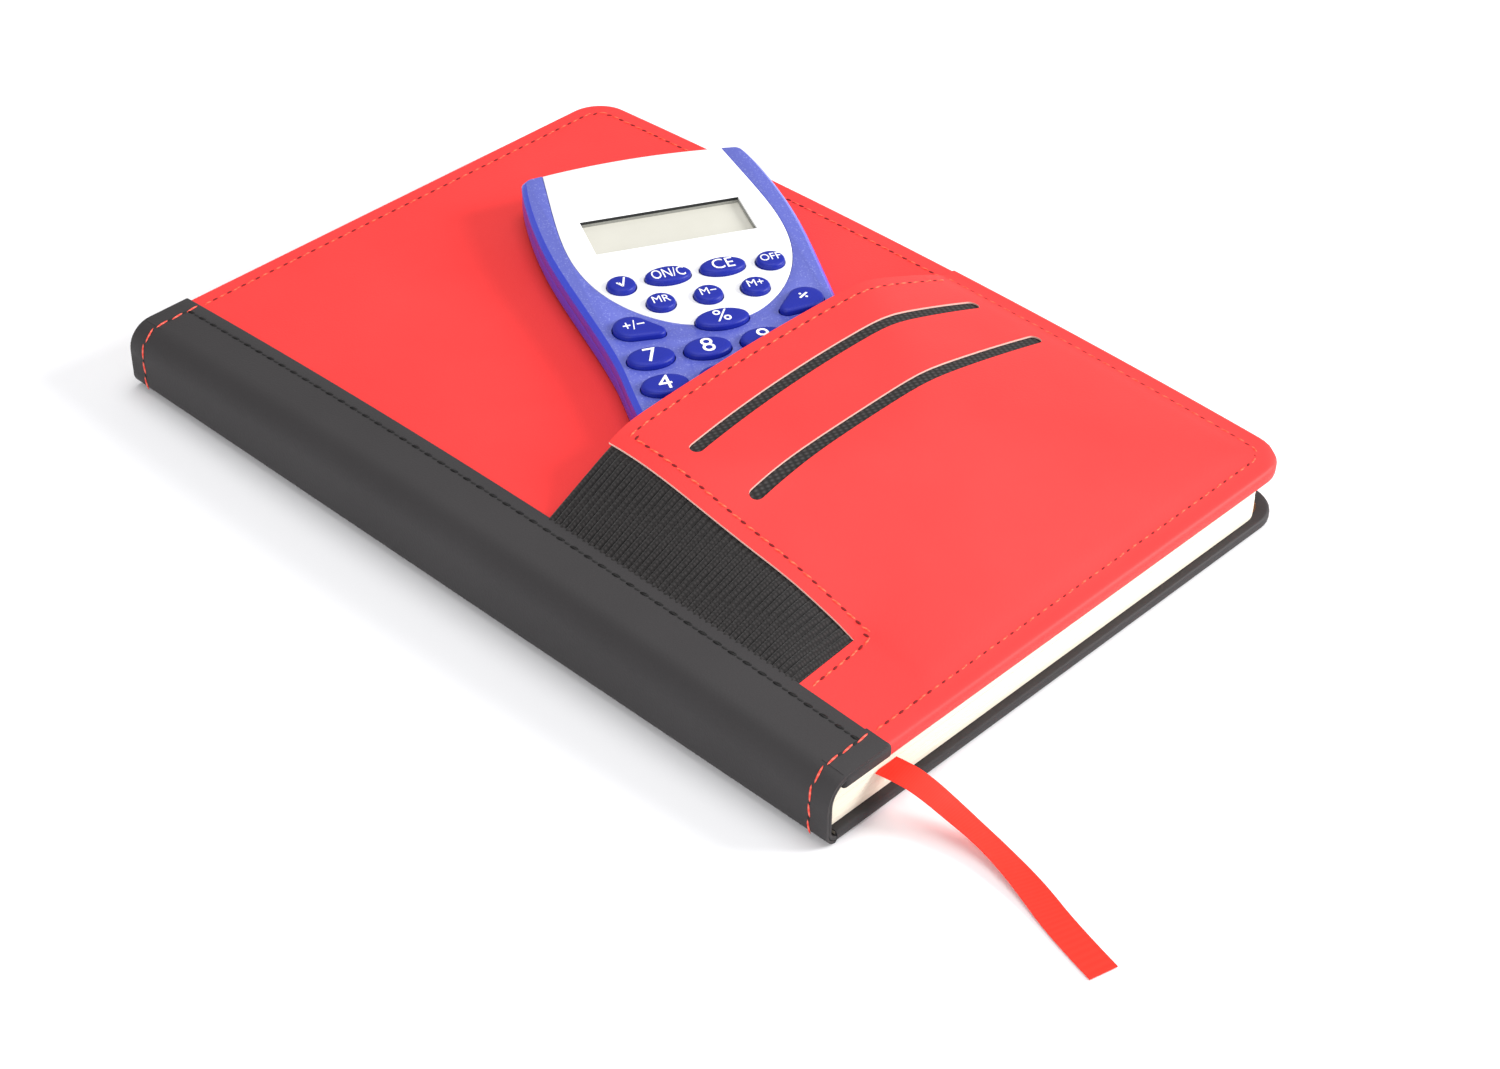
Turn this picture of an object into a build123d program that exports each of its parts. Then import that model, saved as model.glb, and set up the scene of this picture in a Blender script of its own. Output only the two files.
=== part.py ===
from build123d import *
import math
import os

# A5 pocket notebook: hard covers, black spine, two page blocks with a ribbon between them, and
# a front pocket with an elastic gusset that holds a slim pocket calculator.
# Millimetres. +X runs from the spine to the fore edge, +Y from the tail to the head, +Z up.
# The origin is under the middle of the closed notebook, on the surface that it lies on.

# ---- Notebook: overall sizes ----
cover_width = 143.2
cover_height = 210.0
corner_radius = 8.5
spine_x = -cover_width / 2
fore_x = cover_width / 2
head_y = cover_height / 2

# ---- Notebook: layers, from the table up ----
skin = 0.6                # PU leather
back_board_thickness = 1.5
endpaper = 0.25
paper_gap = 0.15
back_block_thickness = 5.35
ribbon_thickness = 0.25
leaf_gap = 0.5            # room between the two page blocks, where the ribbon lies
front_block_thickness = 3.8
cover_gap = 0.3
front_board_thickness = 1.1
padding_thickness = 0.4
cover_arch = 3.0          # how far the front cover bows up at mid-height
leaf_arch = 2.9           # the leaves under it bow nearly as far

back_skin_top = skin + back_board_thickness
back_block_bottom = back_skin_top + endpaper + paper_gap
back_block_top = back_block_bottom + back_block_thickness
front_block_bottom = back_block_top + leaf_gap
front_block_top = front_block_bottom + front_block_thickness
cover_bottom = front_block_top + cover_gap
board_bottom = cover_bottom + endpaper
board_top = board_bottom + front_board_thickness
padding_top = board_top + padding_thickness
cover_top = padding_top + skin

# ---- Notebook: insets from the cover's outline ----
edge_wall = 0.6           # leather turned round the edge of a board
endpaper_inset = 3.0
page_tail_inset = 2.0
page_fore_inset = 5.8
page_corner_radius = 5.0

# ---- Spine ----
spine_wall = 0.8
spine_round = 3.0
spine_gap = 0.4           # between the spine panel and the front strip above it
stiffener_thickness = 0.8
stiffener_inset = 3.0
gauze_thickness = 0.3
front_block_spine_gap = 0.6
seam_x = spine_x + 16.2   # where the black front strip meets the red leather
board_joint = 5.0         # the front board starts this far from the spine's outer face
hinge_x = spine_x - 0.2
hinge_z = cover_top - 0.45

# ---- Bookmark ribbon ----
ribbon_width = 6.2
ribbon_x = -53.4
ribbon_join_gap = 0.5     # the free end leaves at a slant, just clear of the hidden run
# The free end: out between the leaves, down over the back cover's edge, along the table.
RIBBON_ROUTE = [
    (-53.4, -103.1, 7.975),
    (-52.725, -107.6, 7.7),
    (-51.975, -112.6, 3.4),
    (-51.15, -118.1, 0.125),
    (-49.8, -127.1, 0.125),
    (-52.6, -138.2, 0.125),
    (-57.0, -149.6, 0.125),
    (-60.0, -161.2, 0.125),
]
RIBBON_LANDING = 3        # the point where the ribbon reaches the table

# ---- Calculator: place on the cover ----
calculator_x = 21.65
calculator_y = 22.15
calculator_turn = -27.9
calculator_rest_gap = 0.2
calculator_base = cover_top + cover_arch + calculator_rest_gap

# ---- Calculator: shell ----
calculator_top_y = 50.6
calculator_bottom_y = -69.0
calculator_bottom_half = 26.9
calculator_corner_radius = 19.0
calculator_shoulder_radius = 3.0
back_shell_height = 3.7
front_shell_height = 3.7
shell_wall = 1.4
shell_floor = 1.2
face_thickness = 1.4
edge_chamfer = 1.1
plate_thickness = 0.7
plate_proud = 0.08
window_half_width = 18.9
window_low_y = 12.4
window_high_y = 26.4
shell_split = calculator_base + back_shell_height
face_z = shell_split + front_shell_height
face_underside = face_z - face_thickness

# ---- Calculator: inside ----
board_clearance = 0.5
circuit_low_z = calculator_base + 2.2
circuit_thickness = 1.0
circuit_top_z = circuit_low_z + circuit_thickness
circuit_end_y = 30.0
keypad_thickness = 0.5
glass_thickness = 1.2
glass_margin = 1.8
cell_radius = 5.8
cell_height = 3.0
cell_y = 40.5
cell_clearance = 0.2
contact_thickness = 0.3
door_half_width = 12.5
door_low_y = 33.0
door_thickness = 1.0
door_clearance = 0.2
screw_radius = 0.9
screw_head_radius = 1.6
screw_head_height = 0.7
boss_radius = 1.7
SCREW_PLACES = [(-23.2, 41.0), (23.2, 41.0), (-21.2, -58.6), (21.2, -58.6)]

# ---- Calculator: keys ----
key_gap = 0.25            # between a key and its hole
key_flange = 0.6
key_flange_thickness = 1.0
key_flange_gap = 0.1
key_rise = 1.4            # above the face
key_dome = 0.6
key_travel = 0.8
key_top = face_z + key_rise
round_key = 3.2
wide_key = (5.2, 3.1)
number_key = (5.2, 3.5)
percent_key = (6.0, 3.4)
column_pitch = 12.6
row_pitch = 10.4
first_row_y = -30.2

# ---- Pocket ----
panel_thickness = 0.8
lining_thickness = 0.3
gusset_thickness = 0.9
lining_box = (-32.5, 63.5, -51.0, -17.5)
sheet_columns = 13        # facets across the pocket, and along it
sheet_rows = 10
pocket_seat_gap = 0.03
pocket_key_gap = 0.3
pocket_plateau = key_top + pocket_key_gap + lining_thickness
pocket_margin = 6.0       # the sheet stays level this far past the calculator's outline
pocket_edge_inset = 0.4
fore_seam_x = fore_x - 4.2
tail_seam_y = -head_y + 4.4
panel_left_low = (-38.5, -81.0)
panel_left_high = (-36.6, -11.4)
mouth_y = -9.0
mouth_sag = 2.6
slot_width = 3.2
SLOT_CENTRES = [
    [(-26.8, -26.9), (18.0, -23.4), (60.3, -25.9)],
    [(-27.4, -44.3), (16.0, -43.0), (60.7, -43.4)],
]

# ---- Stitching ----
stitch_pitch = 4.0
stitch_length = 2.7
stitch_width = 0.5
stitch_height = 0.25
stitch_gap = 0.04
edge_stitch_inset = 4.4
seam_stitch_inset = 4.0
pocket_stitch_inset = 3.0
hem_stitch_inset = 4.6

CALCULATOR = Location((calculator_x, calculator_y, 0), (0, 0, calculator_turn))


# ---- Shared shapes ----
def arch_at(y, rise=cover_arch):
    """Height that the bowed cover gains at y, on a circular arc from tail to head."""
    radius = (head_y ** 2 + rise ** 2) / (2 * rise)
    return math.sqrt(radius ** 2 - y ** 2) - (radius - rise)


def arch_line(z, rise):
    """The side view of a bowed surface, a little longer than the cover."""
    reach = head_y + 2
    if rise == 0:
        return Line((-reach, z), (reach, z))
    end = z + arch_at(reach, rise)
    return ThreePointArc((-reach, end), (0, z + rise), (reach, end))


def arched_block(outline, low, high, low_rise=cover_arch, high_rise=cover_arch):
    """A plate of the given plan whose underside and top bow up along Y."""
    bottom = arch_line(low, low_rise)
    top = arch_line(high, high_rise)
    right = Line(bottom @ 1, top @ 1)
    left = Line(top @ 0, bottom @ 0)
    profile = make_face([bottom, right, top, left])
    slab = extrude(Plane.YZ.offset(-cover_width) * profile, amount=2 * cover_width)
    return slab & extrude(outline, amount=10 * cover_top)


def plan(x0, x1, y0, y1, radius=0.0):
    """A rectangle seen from above, with its two fore-edge corners rounded."""
    shape = Pos((x0 + x1) / 2, (y0 + y1) / 2) * Rectangle(x1 - x0, y1 - y0)
    if radius > 0:
        shape = fillet(shape.vertices().group_by(Axis.X)[-1], radius)
    return shape


def block(x0, x1, y0, y1, z0, z1):
    centre = Pos((x0 + x1) / 2, (y0 + y1) / 2, (z0 + z1) / 2)
    return centre * Box(x1 - x0, y1 - y0, z1 - z0)


def whole(shape):
    """The largest solid of a boolean's result."""
    return shape.solids().sort_by(SortBy.VOLUME)[-1]


def cover_plan(inset, x0=spine_x):
    radius = corner_radius - inset
    return plan(x0, fore_x - inset, -head_y + inset, head_y - inset, radius)


# ---- Back cover and spine, which stay on the table ----
def make_back_cover_skin():
    left = spine_x + spine_round
    outer = extrude(cover_plan(0, left), amount=back_skin_top)
    hollow = extrude(Pos(0, 0, skin) * cover_plan(edge_wall, left), amount=back_skin_top)
    return outer - hollow


def make_back_board():
    left = spine_x + spine_round
    return extrude(Pos(0, 0, skin) * cover_plan(edge_wall, left), amount=back_board_thickness)


def make_back_endpaper():
    left = spine_x + spine_round
    return extrude(Pos(0, 0, back_skin_top) * cover_plan(endpaper_inset, left), amount=endpaper)


def make_spine_panel():
    """The upright back of the leather spine, and the curl that carries it under the block."""
    low = spine_round
    high = cover_bottom - spine_gap
    sides = [
        Line((-head_y, low), (head_y, low)),
        Line((head_y, low), (head_y, high)),
        ThreePointArc((head_y, high), (0, high + cover_arch), (-head_y, high)),
        Line((-head_y, high), (-head_y, low)),
    ]
    wall = extrude(Plane.YZ.offset(spine_x) * make_face(sides), amount=spine_wall)
    centre_x = spine_x + spine_round
    ring = Circle(spine_round) - Circle(spine_round - spine_wall)
    corner = Pos(-spine_round / 2, -spine_round / 2) * Rectangle(spine_round, spine_round)
    curl = Plane.XZ * (ring & corner)
    curl = extrude(curl, amount=cover_height / 2, both=True)
    return wall + Pos(centre_x, 0, spine_round) * curl


def make_spine_stiffener():
    left = spine_x + spine_wall
    y = head_y - stiffener_inset
    high = cover_bottom - spine_gap
    return block(left, left + stiffener_thickness, -y, y, spine_round, high)


block_spine_x = spine_x + spine_wall + stiffener_thickness + gauze_thickness


def make_spine_gauze():
    y = head_y - page_tail_inset - 5
    left = block_spine_x - gauze_thickness
    return block(left, block_spine_x, -y, y, back_block_bottom + 0.8, back_block_top)


def page_plan(left):
    y = head_y - page_tail_inset
    return plan(left, fore_x - page_fore_inset, -y, y, page_corner_radius)


def make_page_block_back():
    base = Pos(0, 0, back_block_bottom) * page_plan(block_spine_x)
    return extrude(base, amount=back_block_thickness)


def make_page_block_front():
    """The leaves above the ribbon, flat below and bowed on top like the cover over them."""
    left = block_spine_x + front_block_spine_gap
    return arched_block(page_plan(left), front_block_bottom, front_block_top, 0, leaf_arch)


# ---- Ribbon ----
def route_radii(points):
    """The largest radius that each corner's two runs allow."""
    radii = []
    for before, here, after in zip(points, points[1:], points[2:]):
        run_in = Vector(here) - Vector(before)
        run_out = Vector(after) - Vector(here)
        half_turn = math.radians(run_in.get_angle(run_out)) / 2
        radii.append(0.45 * min(run_in.length, run_out.length) / math.tan(half_turn))
    return radii


def make_bookmark_ribbon():
    """A flat band: one stretch bends down in an upright plane, the other bends flat."""
    start = Vector(RIBBON_ROUTE[0])
    heading = Vector(*RIBBON_ROUTE[1][:2]) - Vector(*RIBBON_ROUTE[0][:2])
    fall = []
    for point in RIBBON_ROUTE[:RIBBON_LANDING + 2]:
        along = (Vector(point[0], point[1]) - Vector(start.X, start.Y)).length
        fall.append((along, point[2]))
    fall_path = FilletPolyline(*fall, radius=route_radii([(a, 0, z) for a, z in fall]))
    angle = math.degrees(math.atan2(heading.Y, heading.X))
    forward = Vector(heading.X, heading.Y, 0)
    upright = Plane(origin=(start.X, start.Y, 0), x_dir=forward, z_dir=forward.cross(Vector(0, 0, 1)))
    fall_face = upright * trace(fall_path, ribbon_thickness)
    falling = extrude(fall_face, amount=ribbon_width / 2, both=True)
    laid = [(x, y) for x, y, z in RIBBON_ROUTE[RIBBON_LANDING:]]
    laid_path = FilletPolyline(*laid, radius=route_radii([(x, y, 0) for x, y in laid]))
    lying = extrude(trace(laid_path, ribbon_width), amount=ribbon_thickness)
    band = falling + lying
    radii = route_radii(RIBBON_ROUTE)
    length = fall_path.length + laid_path.length
    shared = (Vector(laid[1]) - Vector(laid[0])).length
    print("ribbon radii", [round(radius, 1) for radius in radii], "heading", round(angle, 1))
    print("ribbon length", round(length - shared, 2), "volume", round(band.volume, 2),
          "section x length", round((length - shared) * ribbon_width * ribbon_thickness, 2))
    return whole(band)


def make_ribbon_between_leaves():
    """The part of the ribbon that lies between the page blocks, up to the head."""
    x0 = ribbon_x - ribbon_width / 2
    tail = RIBBON_ROUTE[0][1] + ribbon_join_gap
    top = back_block_top + ribbon_thickness
    return block(x0, x0 + ribbon_width, tail, head_y - page_tail_inset - 1, back_block_top, top)


# ---- Front cover ----
def make_front_board():
    return arched_block(cover_plan(edge_wall, spine_x + board_joint), board_bottom, board_top)


def make_front_padding():
    return arched_block(cover_plan(edge_wall, spine_x + board_joint), board_top, padding_top)


def make_front_endpaper():
    left = spine_x + board_joint
    return arched_block(cover_plan(endpaper_inset, left), cover_bottom, board_bottom)


def make_front_cover_skin():
    """Leather over the padding and round the board's three open edges."""
    outer = arched_block(cover_plan(0, seam_x), board_bottom, cover_top)
    hollow = arched_block(cover_plan(edge_wall, seam_x - 1), board_bottom - 1, padding_top)
    return whole(outer - hollow)


def make_spine_front_strip():
    """The black leather from the spine's top corner to the seam."""
    whole_strip = plan(spine_x, seam_x, -head_y, head_y)
    outer = arched_block(whole_strip, board_bottom, cover_top)
    end = head_y - edge_wall
    hollow = arched_block(plan(spine_x + edge_wall, seam_x, -end, end), board_bottom, padding_top)
    strip = outer - hollow
    corner = strip.edges().filter_by(lambda edge: edge.length > cover_height * 0.9)
    corner = corner.group_by(Axis.X)[0].sort_by(Axis.Z)[-1]
    return chamfer(corner, 0.5)


# ---- Calculator: outlines in its own plan ----
def calculator_outline(inset=0.0):
    """Bulging round the display, waisted at the number keys, with a round bottom end."""
    half = calculator_bottom_half - inset
    turn = calculator_corner_radius - inset
    low = calculator_bottom_y + inset
    top_y = calculator_top_y - inset
    shoulder = (26.6 - inset, 48.3 - inset)
    bulge = [(28.9, 33.0), (29.5, 18.0), (27.8, -8.0), (26.4, -30.0)]
    side = [shoulder] + [(x - inset, y) for x, y in bulge] + [(half, low + turn)]
    right = Spline(*side, tangents=[(0.25, -1), (0, -1)])
    low_right = TangentArc((half, low + turn), (half - turn, low), tangent=(0, -1))
    bottom = Line((half - turn, low), (turn - half, low))
    top = ThreePointArc((-shoulder[0], shoulder[1]), (0, top_y), shoulder)
    low_left = mirror(low_right, Plane.YZ)
    left = mirror(right, Plane.YZ)
    face = make_face([right, low_right, bottom, low_left, left, top])
    shoulder_radius = max(calculator_shoulder_radius - inset, 0.8)
    return fillet(face.vertices().group_by(Axis.Y)[-1], shoulder_radius)


def plate_outline():
    """The white face plate: as wide as the face at the top, ending in a half ellipse."""
    right = Spline((21.6, 49.3), (24.0, 30.0), (25.0, 12.0), (22.6, -1.5), (12.6, -16.6), (0, -21.4),
                   tangents=[(0.12, -1), (-1, 0)])
    left = mirror(right, Plane.YZ)
    top = ThreePointArc((21.6, 49.3), (0, calculator_top_y - 0.1), (-21.6, 49.3))
    return make_face([right, left, top])


def window_plan(margin=0.0):
    x = window_half_width + margin
    return plan(-x, x, window_low_y - margin, window_high_y + margin)


def teardrop(side, grow=0.0):
    """A key with a round outer end that narrows towards the middle of the keypad."""
    big = Pos(-side * 1.6, 0.9) * Circle(4.0 + grow)
    small = Pos(side * 3.6, -1.9) * Circle(1.7 + grow)
    return make_hull([big.edges()[0], small.edges()[0]])


def oval(half_sizes, grow=0.0):
    return Ellipse(half_sizes[0] + grow, half_sizes[1] + grow)


def key_places():
    """Each key's name, centre and outline maker."""
    outer = 1.5 * column_pitch
    inner = 0.5 * column_pitch
    rows = [first_row_y - number * row_pitch for number in range(4)]
    keys = [
        ("root", (-17.2, -1.9), lambda grow: Circle(round_key + grow)),
        ("on", (-6.3, -1.1), lambda grow: oval(wide_key, grow)),
        ("clear", (6.3, -1.1), lambda grow: oval(wide_key, grow)),
        ("off", (17.2, -1.9), lambda grow: Circle(round_key + grow)),
        ("memory_recall", (-10.8, -10.8), lambda grow: Circle(round_key + grow)),
        ("memory_minus", (0.0, -10.8), lambda grow: Circle(round_key + grow)),
        ("memory_plus", (10.8, -10.8), lambda grow: Circle(round_key + grow)),
        ("sign", (-18.2, -19.3), lambda grow: teardrop(1, grow)),
        ("percent", (0.0, -20.6), lambda grow: oval(percent_key, grow)),
        ("divide", (18.2, -19.3), lambda grow: teardrop(-1, grow)),
    ]
    grid = [("7", "8", "9", "multiply"), ("4", "5", "6", "minus"), ("1", "2", "3", None)]
    for y, names in zip(rows, grid):
        for x, name in zip((-outer, -inner, inner, outer), names):
            if name:
                keys.append((name, (x, y), lambda grow: oval(number_key, grow)))
    for x, name in zip((-column_pitch, 0.0), ("0", "point")):
        keys.append((name, (x, rows[3]), lambda grow: oval(number_key, grow)))
    keys.append(("equals", (column_pitch, rows[3]), lambda grow: oval(number_key, grow)))
    keys.append(("plus", (outer, rows[2]), lambda grow: oval(number_key, grow)))
    return keys


def lift(sketch, z):
    return Pos(0, 0, z) * sketch


# ---- Calculator: pieces in its own plan ----
def door_plan(gap=0.0):
    half = door_half_width + gap
    return plan(-half, half, door_low_y - gap, calculator_top_y + 5) & calculator_outline()


def make_calculator_back_shell():
    outer = extrude(lift(calculator_outline(), calculator_base), amount=back_shell_height)
    hollow = extrude(lift(calculator_outline(shell_wall), calculator_base + shell_floor),
                     amount=back_shell_height)
    shell = chamfer(outer.faces().sort_by(Axis.Z)[0].outer_wire().edges(), 0.6) - hollow
    holder = Circle(cell_radius + cell_clearance + 1.0) - Circle(cell_radius + cell_clearance)
    holder = Pos(0, cell_y, calculator_base + shell_floor) * holder
    holder = extrude(holder, amount=back_shell_height - shell_floor)
    post_height = circuit_low_z - calculator_base - shell_floor
    for x, y in SCREW_PLACES:
        post = Pos(x, y, calculator_base + shell_floor) * Circle(boss_radius)
        shell += extrude(post, amount=back_shell_height - shell_floor)
    for x in (-8.0, 8.0):
        for y in (22.0, -25.4, -56.2):
            post = Pos(x, y, calculator_base + shell_floor) * Circle(1.2)
            shell += extrude(post, amount=post_height)
    shell += holder
    opening = extrude(lift(door_plan(door_clearance), calculator_base), amount=shell_floor)
    shell -= opening
    gap = extrude(lift(plan(-3.4, 3.4, 30.0, 36.0), calculator_base + shell_floor), amount=5)
    shell -= gap
    for x, y in SCREW_PLACES:
        shell -= Pos(x, y, calculator_base) * extrude(Circle(screw_radius), amount=5)
        shell -= Pos(x, y, calculator_base) * extrude(Circle(screw_head_radius),
                                                      amount=screw_head_height)
    return whole(shell)


def make_calculator_front_shell():
    outer = extrude(lift(calculator_outline(), shell_split), amount=front_shell_height)
    shell = chamfer(outer.faces().sort_by(Axis.Z)[-1].outer_wire().edges(), edge_chamfer)
    shell -= extrude(lift(calculator_outline(shell_wall), shell_split),
                     amount=front_shell_height - face_thickness)
    for x, y in SCREW_PLACES:
        post = Pos(x, y, shell_split) * Circle(boss_radius)
        shell += extrude(post, amount=front_shell_height - face_thickness)
        bore = Pos(x, y, shell_split) * Circle(screw_radius)
        shell -= extrude(bore, amount=front_shell_height - face_thickness - 0.3)
    shell -= extrude(lift(plate_outline(), face_z - plate_thickness), amount=5)
    shell -= extrude(lift(window_plan(), face_underside), amount=5)
    for name, (x, y), outline in key_places():
        shell -= extrude(Pos(x, y, face_underside) * outline(key_gap), amount=5)
    return whole(shell)


def make_face_plate():
    plate = extrude(lift(plate_outline(), face_z - plate_thickness),
                    amount=plate_thickness + plate_proud)
    edge_body = extrude(lift(calculator_outline(edge_chamfer - plate_proud), 0), amount=50)
    plate = plate & edge_body
    plate -= extrude(lift(window_plan(), 0), amount=50)
    for name, (x, y), outline in key_places():
        plate -= extrude(Pos(x, y, 0) * outline(key_gap), amount=50)
    return whole(plate)


def make_key(place, outline):
    """A domed cap on a flange that the front shell holds down."""
    x, y = place
    flange_top = face_underside - key_flange_gap
    flange = extrude(Pos(x, y, flange_top - key_flange_thickness) * outline(key_flange),
                     amount=key_flange_thickness)
    cap = extrude(Pos(x, y, flange_top) * outline(0), amount=key_top - flange_top)
    cap = fillet(cap.faces().sort_by(Axis.Z)[-1].edges(), key_dome)
    return whole(flange + cap)


def make_rubber_keypad():
    """One sheet over the circuit board, with a low dome under each key."""
    sheet = extrude(lift(calculator_outline(shell_wall + board_clearance), circuit_top_z),
                    amount=keypad_thickness)
    sheet = sheet & block(-40, 40, -80, 8, 0, 50)
    key_bottom = face_underside - key_flange_gap - key_flange_thickness
    dome_height = key_bottom - key_travel - 0.05 - circuit_top_z
    for name, (x, y), outline in key_places():
        sheet += extrude(Pos(x, y, circuit_top_z) * Circle(2.0), amount=dome_height)
    for x, y in SCREW_PLACES:
        sheet -= Pos(x, y, 0) * extrude(Circle(boss_radius + 0.3), amount=50)
    return whole(sheet)


def make_circuit_board():
    board = extrude(lift(calculator_outline(shell_wall + board_clearance), circuit_low_z),
                    amount=circuit_thickness)
    board = board & block(-40, 40, -80, circuit_end_y, 0, 50)
    for x, y in SCREW_PLACES:
        board -= Pos(x, y, 0) * extrude(Circle(boss_radius + 0.3), amount=50)
    return whole(board)


def make_display_glass():
    base = lift(window_plan(glass_margin), face_underside - glass_thickness)
    return extrude(base, amount=glass_thickness)


def make_display_connector():
    """The rubber strip that joins the display's lower edge to the circuit board."""
    half = window_half_width - 1
    low_y = window_low_y - glass_margin + 0.2
    return block(-half, half, low_y, low_y + 2.4, circuit_top_z, face_underside - glass_thickness)


cell_low_z = calculator_base + door_thickness + cell_clearance


def make_button_cell():
    cell = Pos(0, cell_y, cell_low_z) * Circle(cell_radius)
    cell = extrude(cell, amount=cell_height)
    return chamfer(cell.faces().sort_by(Axis.Z)[-1].edges(), 0.3)


def make_battery_contacts():
    """A leaf over the cell and a leaf at its side, both ending on the circuit board."""
    cell_high_z = cell_low_z + cell_height
    over = block(-1.5, 1.5, circuit_end_y - 3, cell_y + 3, cell_high_z,
                 cell_high_z + contact_thickness)
    over += block(-1.5, 1.5, circuit_end_y - 3, circuit_end_y - 3 + contact_thickness,
                  circuit_top_z, cell_high_z)
    side_y = cell_y - cell_radius - contact_thickness
    side = block(-2.5, 2.5, side_y - 0.05, side_y + contact_thickness - 0.05,
                 circuit_low_z, circuit_top_z)
    side += block(-2.5, 2.5, circuit_end_y, side_y, circuit_low_z,
                  circuit_low_z + contact_thickness)
    return Compound([*over.solids(), *side.solids()])


def make_battery_door():
    """A flush door that slides off over the top end, with a grooved thumb rest."""
    door = extrude(lift(door_plan(), calculator_base), amount=door_thickness)
    door -= extrude(lift(Rectangle(80, 1.2), calculator_base).moved(Pos(0, calculator_top_y + 0.2)),
                    amount=door_thickness)
    for number in range(4):
        y = calculator_top_y - 5.0 - 1.8 * number
        door -= block(-7, 7, y, y + 0.8, calculator_base, calculator_base + 0.35)
    return whole(door)


def make_shell_screws():
    screws = []
    for x, y in SCREW_PLACES:
        head = Pos(x, y, calculator_base + 0.1) * Circle(screw_head_radius - 0.1)
        head = extrude(head, amount=screw_head_height - 0.1)
        head -= block(x - 1.0, x + 1.0, y - 0.2, y + 0.2, calculator_base, calculator_base + 0.45)
        head -= block(x - 0.2, x + 0.2, y - 1.0, y + 1.0, calculator_base, calculator_base + 0.45)
        shank = Pos(x, y, calculator_base + screw_head_height) * Circle(screw_radius - 0.05)
        screws.append(whole(head + extrude(shank, amount=4.6)))
    return Compound(screws)


# ---- Pocket ----
def to_calculator(x, y):
    """A plan point in the calculator's own axes."""
    turn = math.radians(calculator_turn)
    dx = x - calculator_x
    dy = y - calculator_y
    along = dx * math.cos(turn) + dy * math.sin(turn)
    up = -dx * math.sin(turn) + dy * math.cos(turn)
    return along, up


def pocket_underside(x, y):
    """The pocket's sheet: flat over the calculator, sloping straight down to its sewn edges."""
    s, t = to_calculator(x, y)
    turn = calculator_corner_radius
    side = max(abs(s) - (calculator_bottom_half - turn), 0)
    end = max(calculator_bottom_y + turn - t, 0)
    to_body = max(math.hypot(side, end) - turn - pocket_margin, 0)
    corner = math.hypot(max(x - panel_left_low[0], 0), max(y - panel_left_low[1], 0))
    to_seam = max(min(x - seam_x, fore_seam_x - x, y - tail_seam_y, corner), 0)
    if x < panel_left_low[0]:
        to_seam = max(min(x - seam_x, y - panel_left_low[1]), 0)
    base = cover_top + arch_at(y) + pocket_seat_gap
    if to_seam == 0:
        return base
    return base + (pocket_plateau - base) * to_seam / (to_seam + to_body)


def sheet_lines():
    """The grid lines in X and Y that the pocket's facets share."""
    edge = head_y - pocket_edge_inset
    x0, x1 = seam_x, fore_x - pocket_edge_inset
    y0, y1 = -edge, mouth_y + 1
    xs = [x0 + (x1 - x0) * i / sheet_columns for i in range(sheet_columns + 1)]
    ys = [y0 + (y1 - y0) * j / sheet_rows for j in range(sheet_rows + 1)]
    return xs, ys


def facet_height(x, y):
    """Underside of the facet over a plan point; each cell is cut from its low to its high corner."""
    xs, ys = sheet_lines()
    i = min(max(int((x - xs[0]) / (xs[1] - xs[0])), 0), sheet_columns - 1)
    j = min(max(int((y - ys[0]) / (ys[1] - ys[0])), 0), sheet_rows - 1)
    u = (x - xs[i]) / (xs[1] - xs[0])
    v = (y - ys[j]) / (ys[1] - ys[0])
    low = pocket_underside(xs[i], ys[j])
    high = pocket_underside(xs[i + 1], ys[j + 1])
    if u > v:
        corner = pocket_underside(xs[i + 1], ys[j])
        return low + (corner - low) * u + (high - corner) * v
    corner = pocket_underside(xs[i], ys[j + 1])
    return low + (corner - low) * v + (high - corner) * u


def pocket_sheet(thickness, drop=0.0):
    """A sheet of flat facets draped over the calculator, closed all round."""
    xs, ys = sheet_lines()
    low = [[Vector(x, y, pocket_underside(x, y) - drop) for x in xs] for y in ys]
    high = [[point + Vector(0, 0, thickness) for point in row] for row in low]
    faces = []
    for grid in (low, high):
        for j in range(sheet_rows):
            for i in range(sheet_columns):
                a, b = grid[j][i], grid[j][i + 1]
                c, d = grid[j + 1][i + 1], grid[j + 1][i]
                faces.append(Face(Wire.make_polygon([a, b, c])))
                faces.append(Face(Wire.make_polygon([a, c, d])))
    rim = [(0, i) for i in range(sheet_columns)] + [(j, sheet_columns) for j in range(sheet_rows)]
    rim += [(sheet_rows, i) for i in range(sheet_columns, 0, -1)]
    rim += [(j, 0) for j in range(sheet_rows, 0, -1)]
    for (j, i), (l, k) in zip(rim, rim[1:] + rim[:1]):
        corners = [low[j][i], low[l][k], high[l][k], high[j][i]]
        faces.append(Face(Wire.make_polygon(corners)))
    return Solid(Shell(faces))


def gusset_plan():
    """The plan that the elastic gusset fills, between the seam and the panel's left edge."""
    left_low = (seam_x, panel_left_low[1] - 1.2)
    left_high = (seam_x, panel_left_high[1] - 1.2)
    return make_face(Polyline(left_low, panel_left_low, panel_left_high, left_high, close=True))


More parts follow.
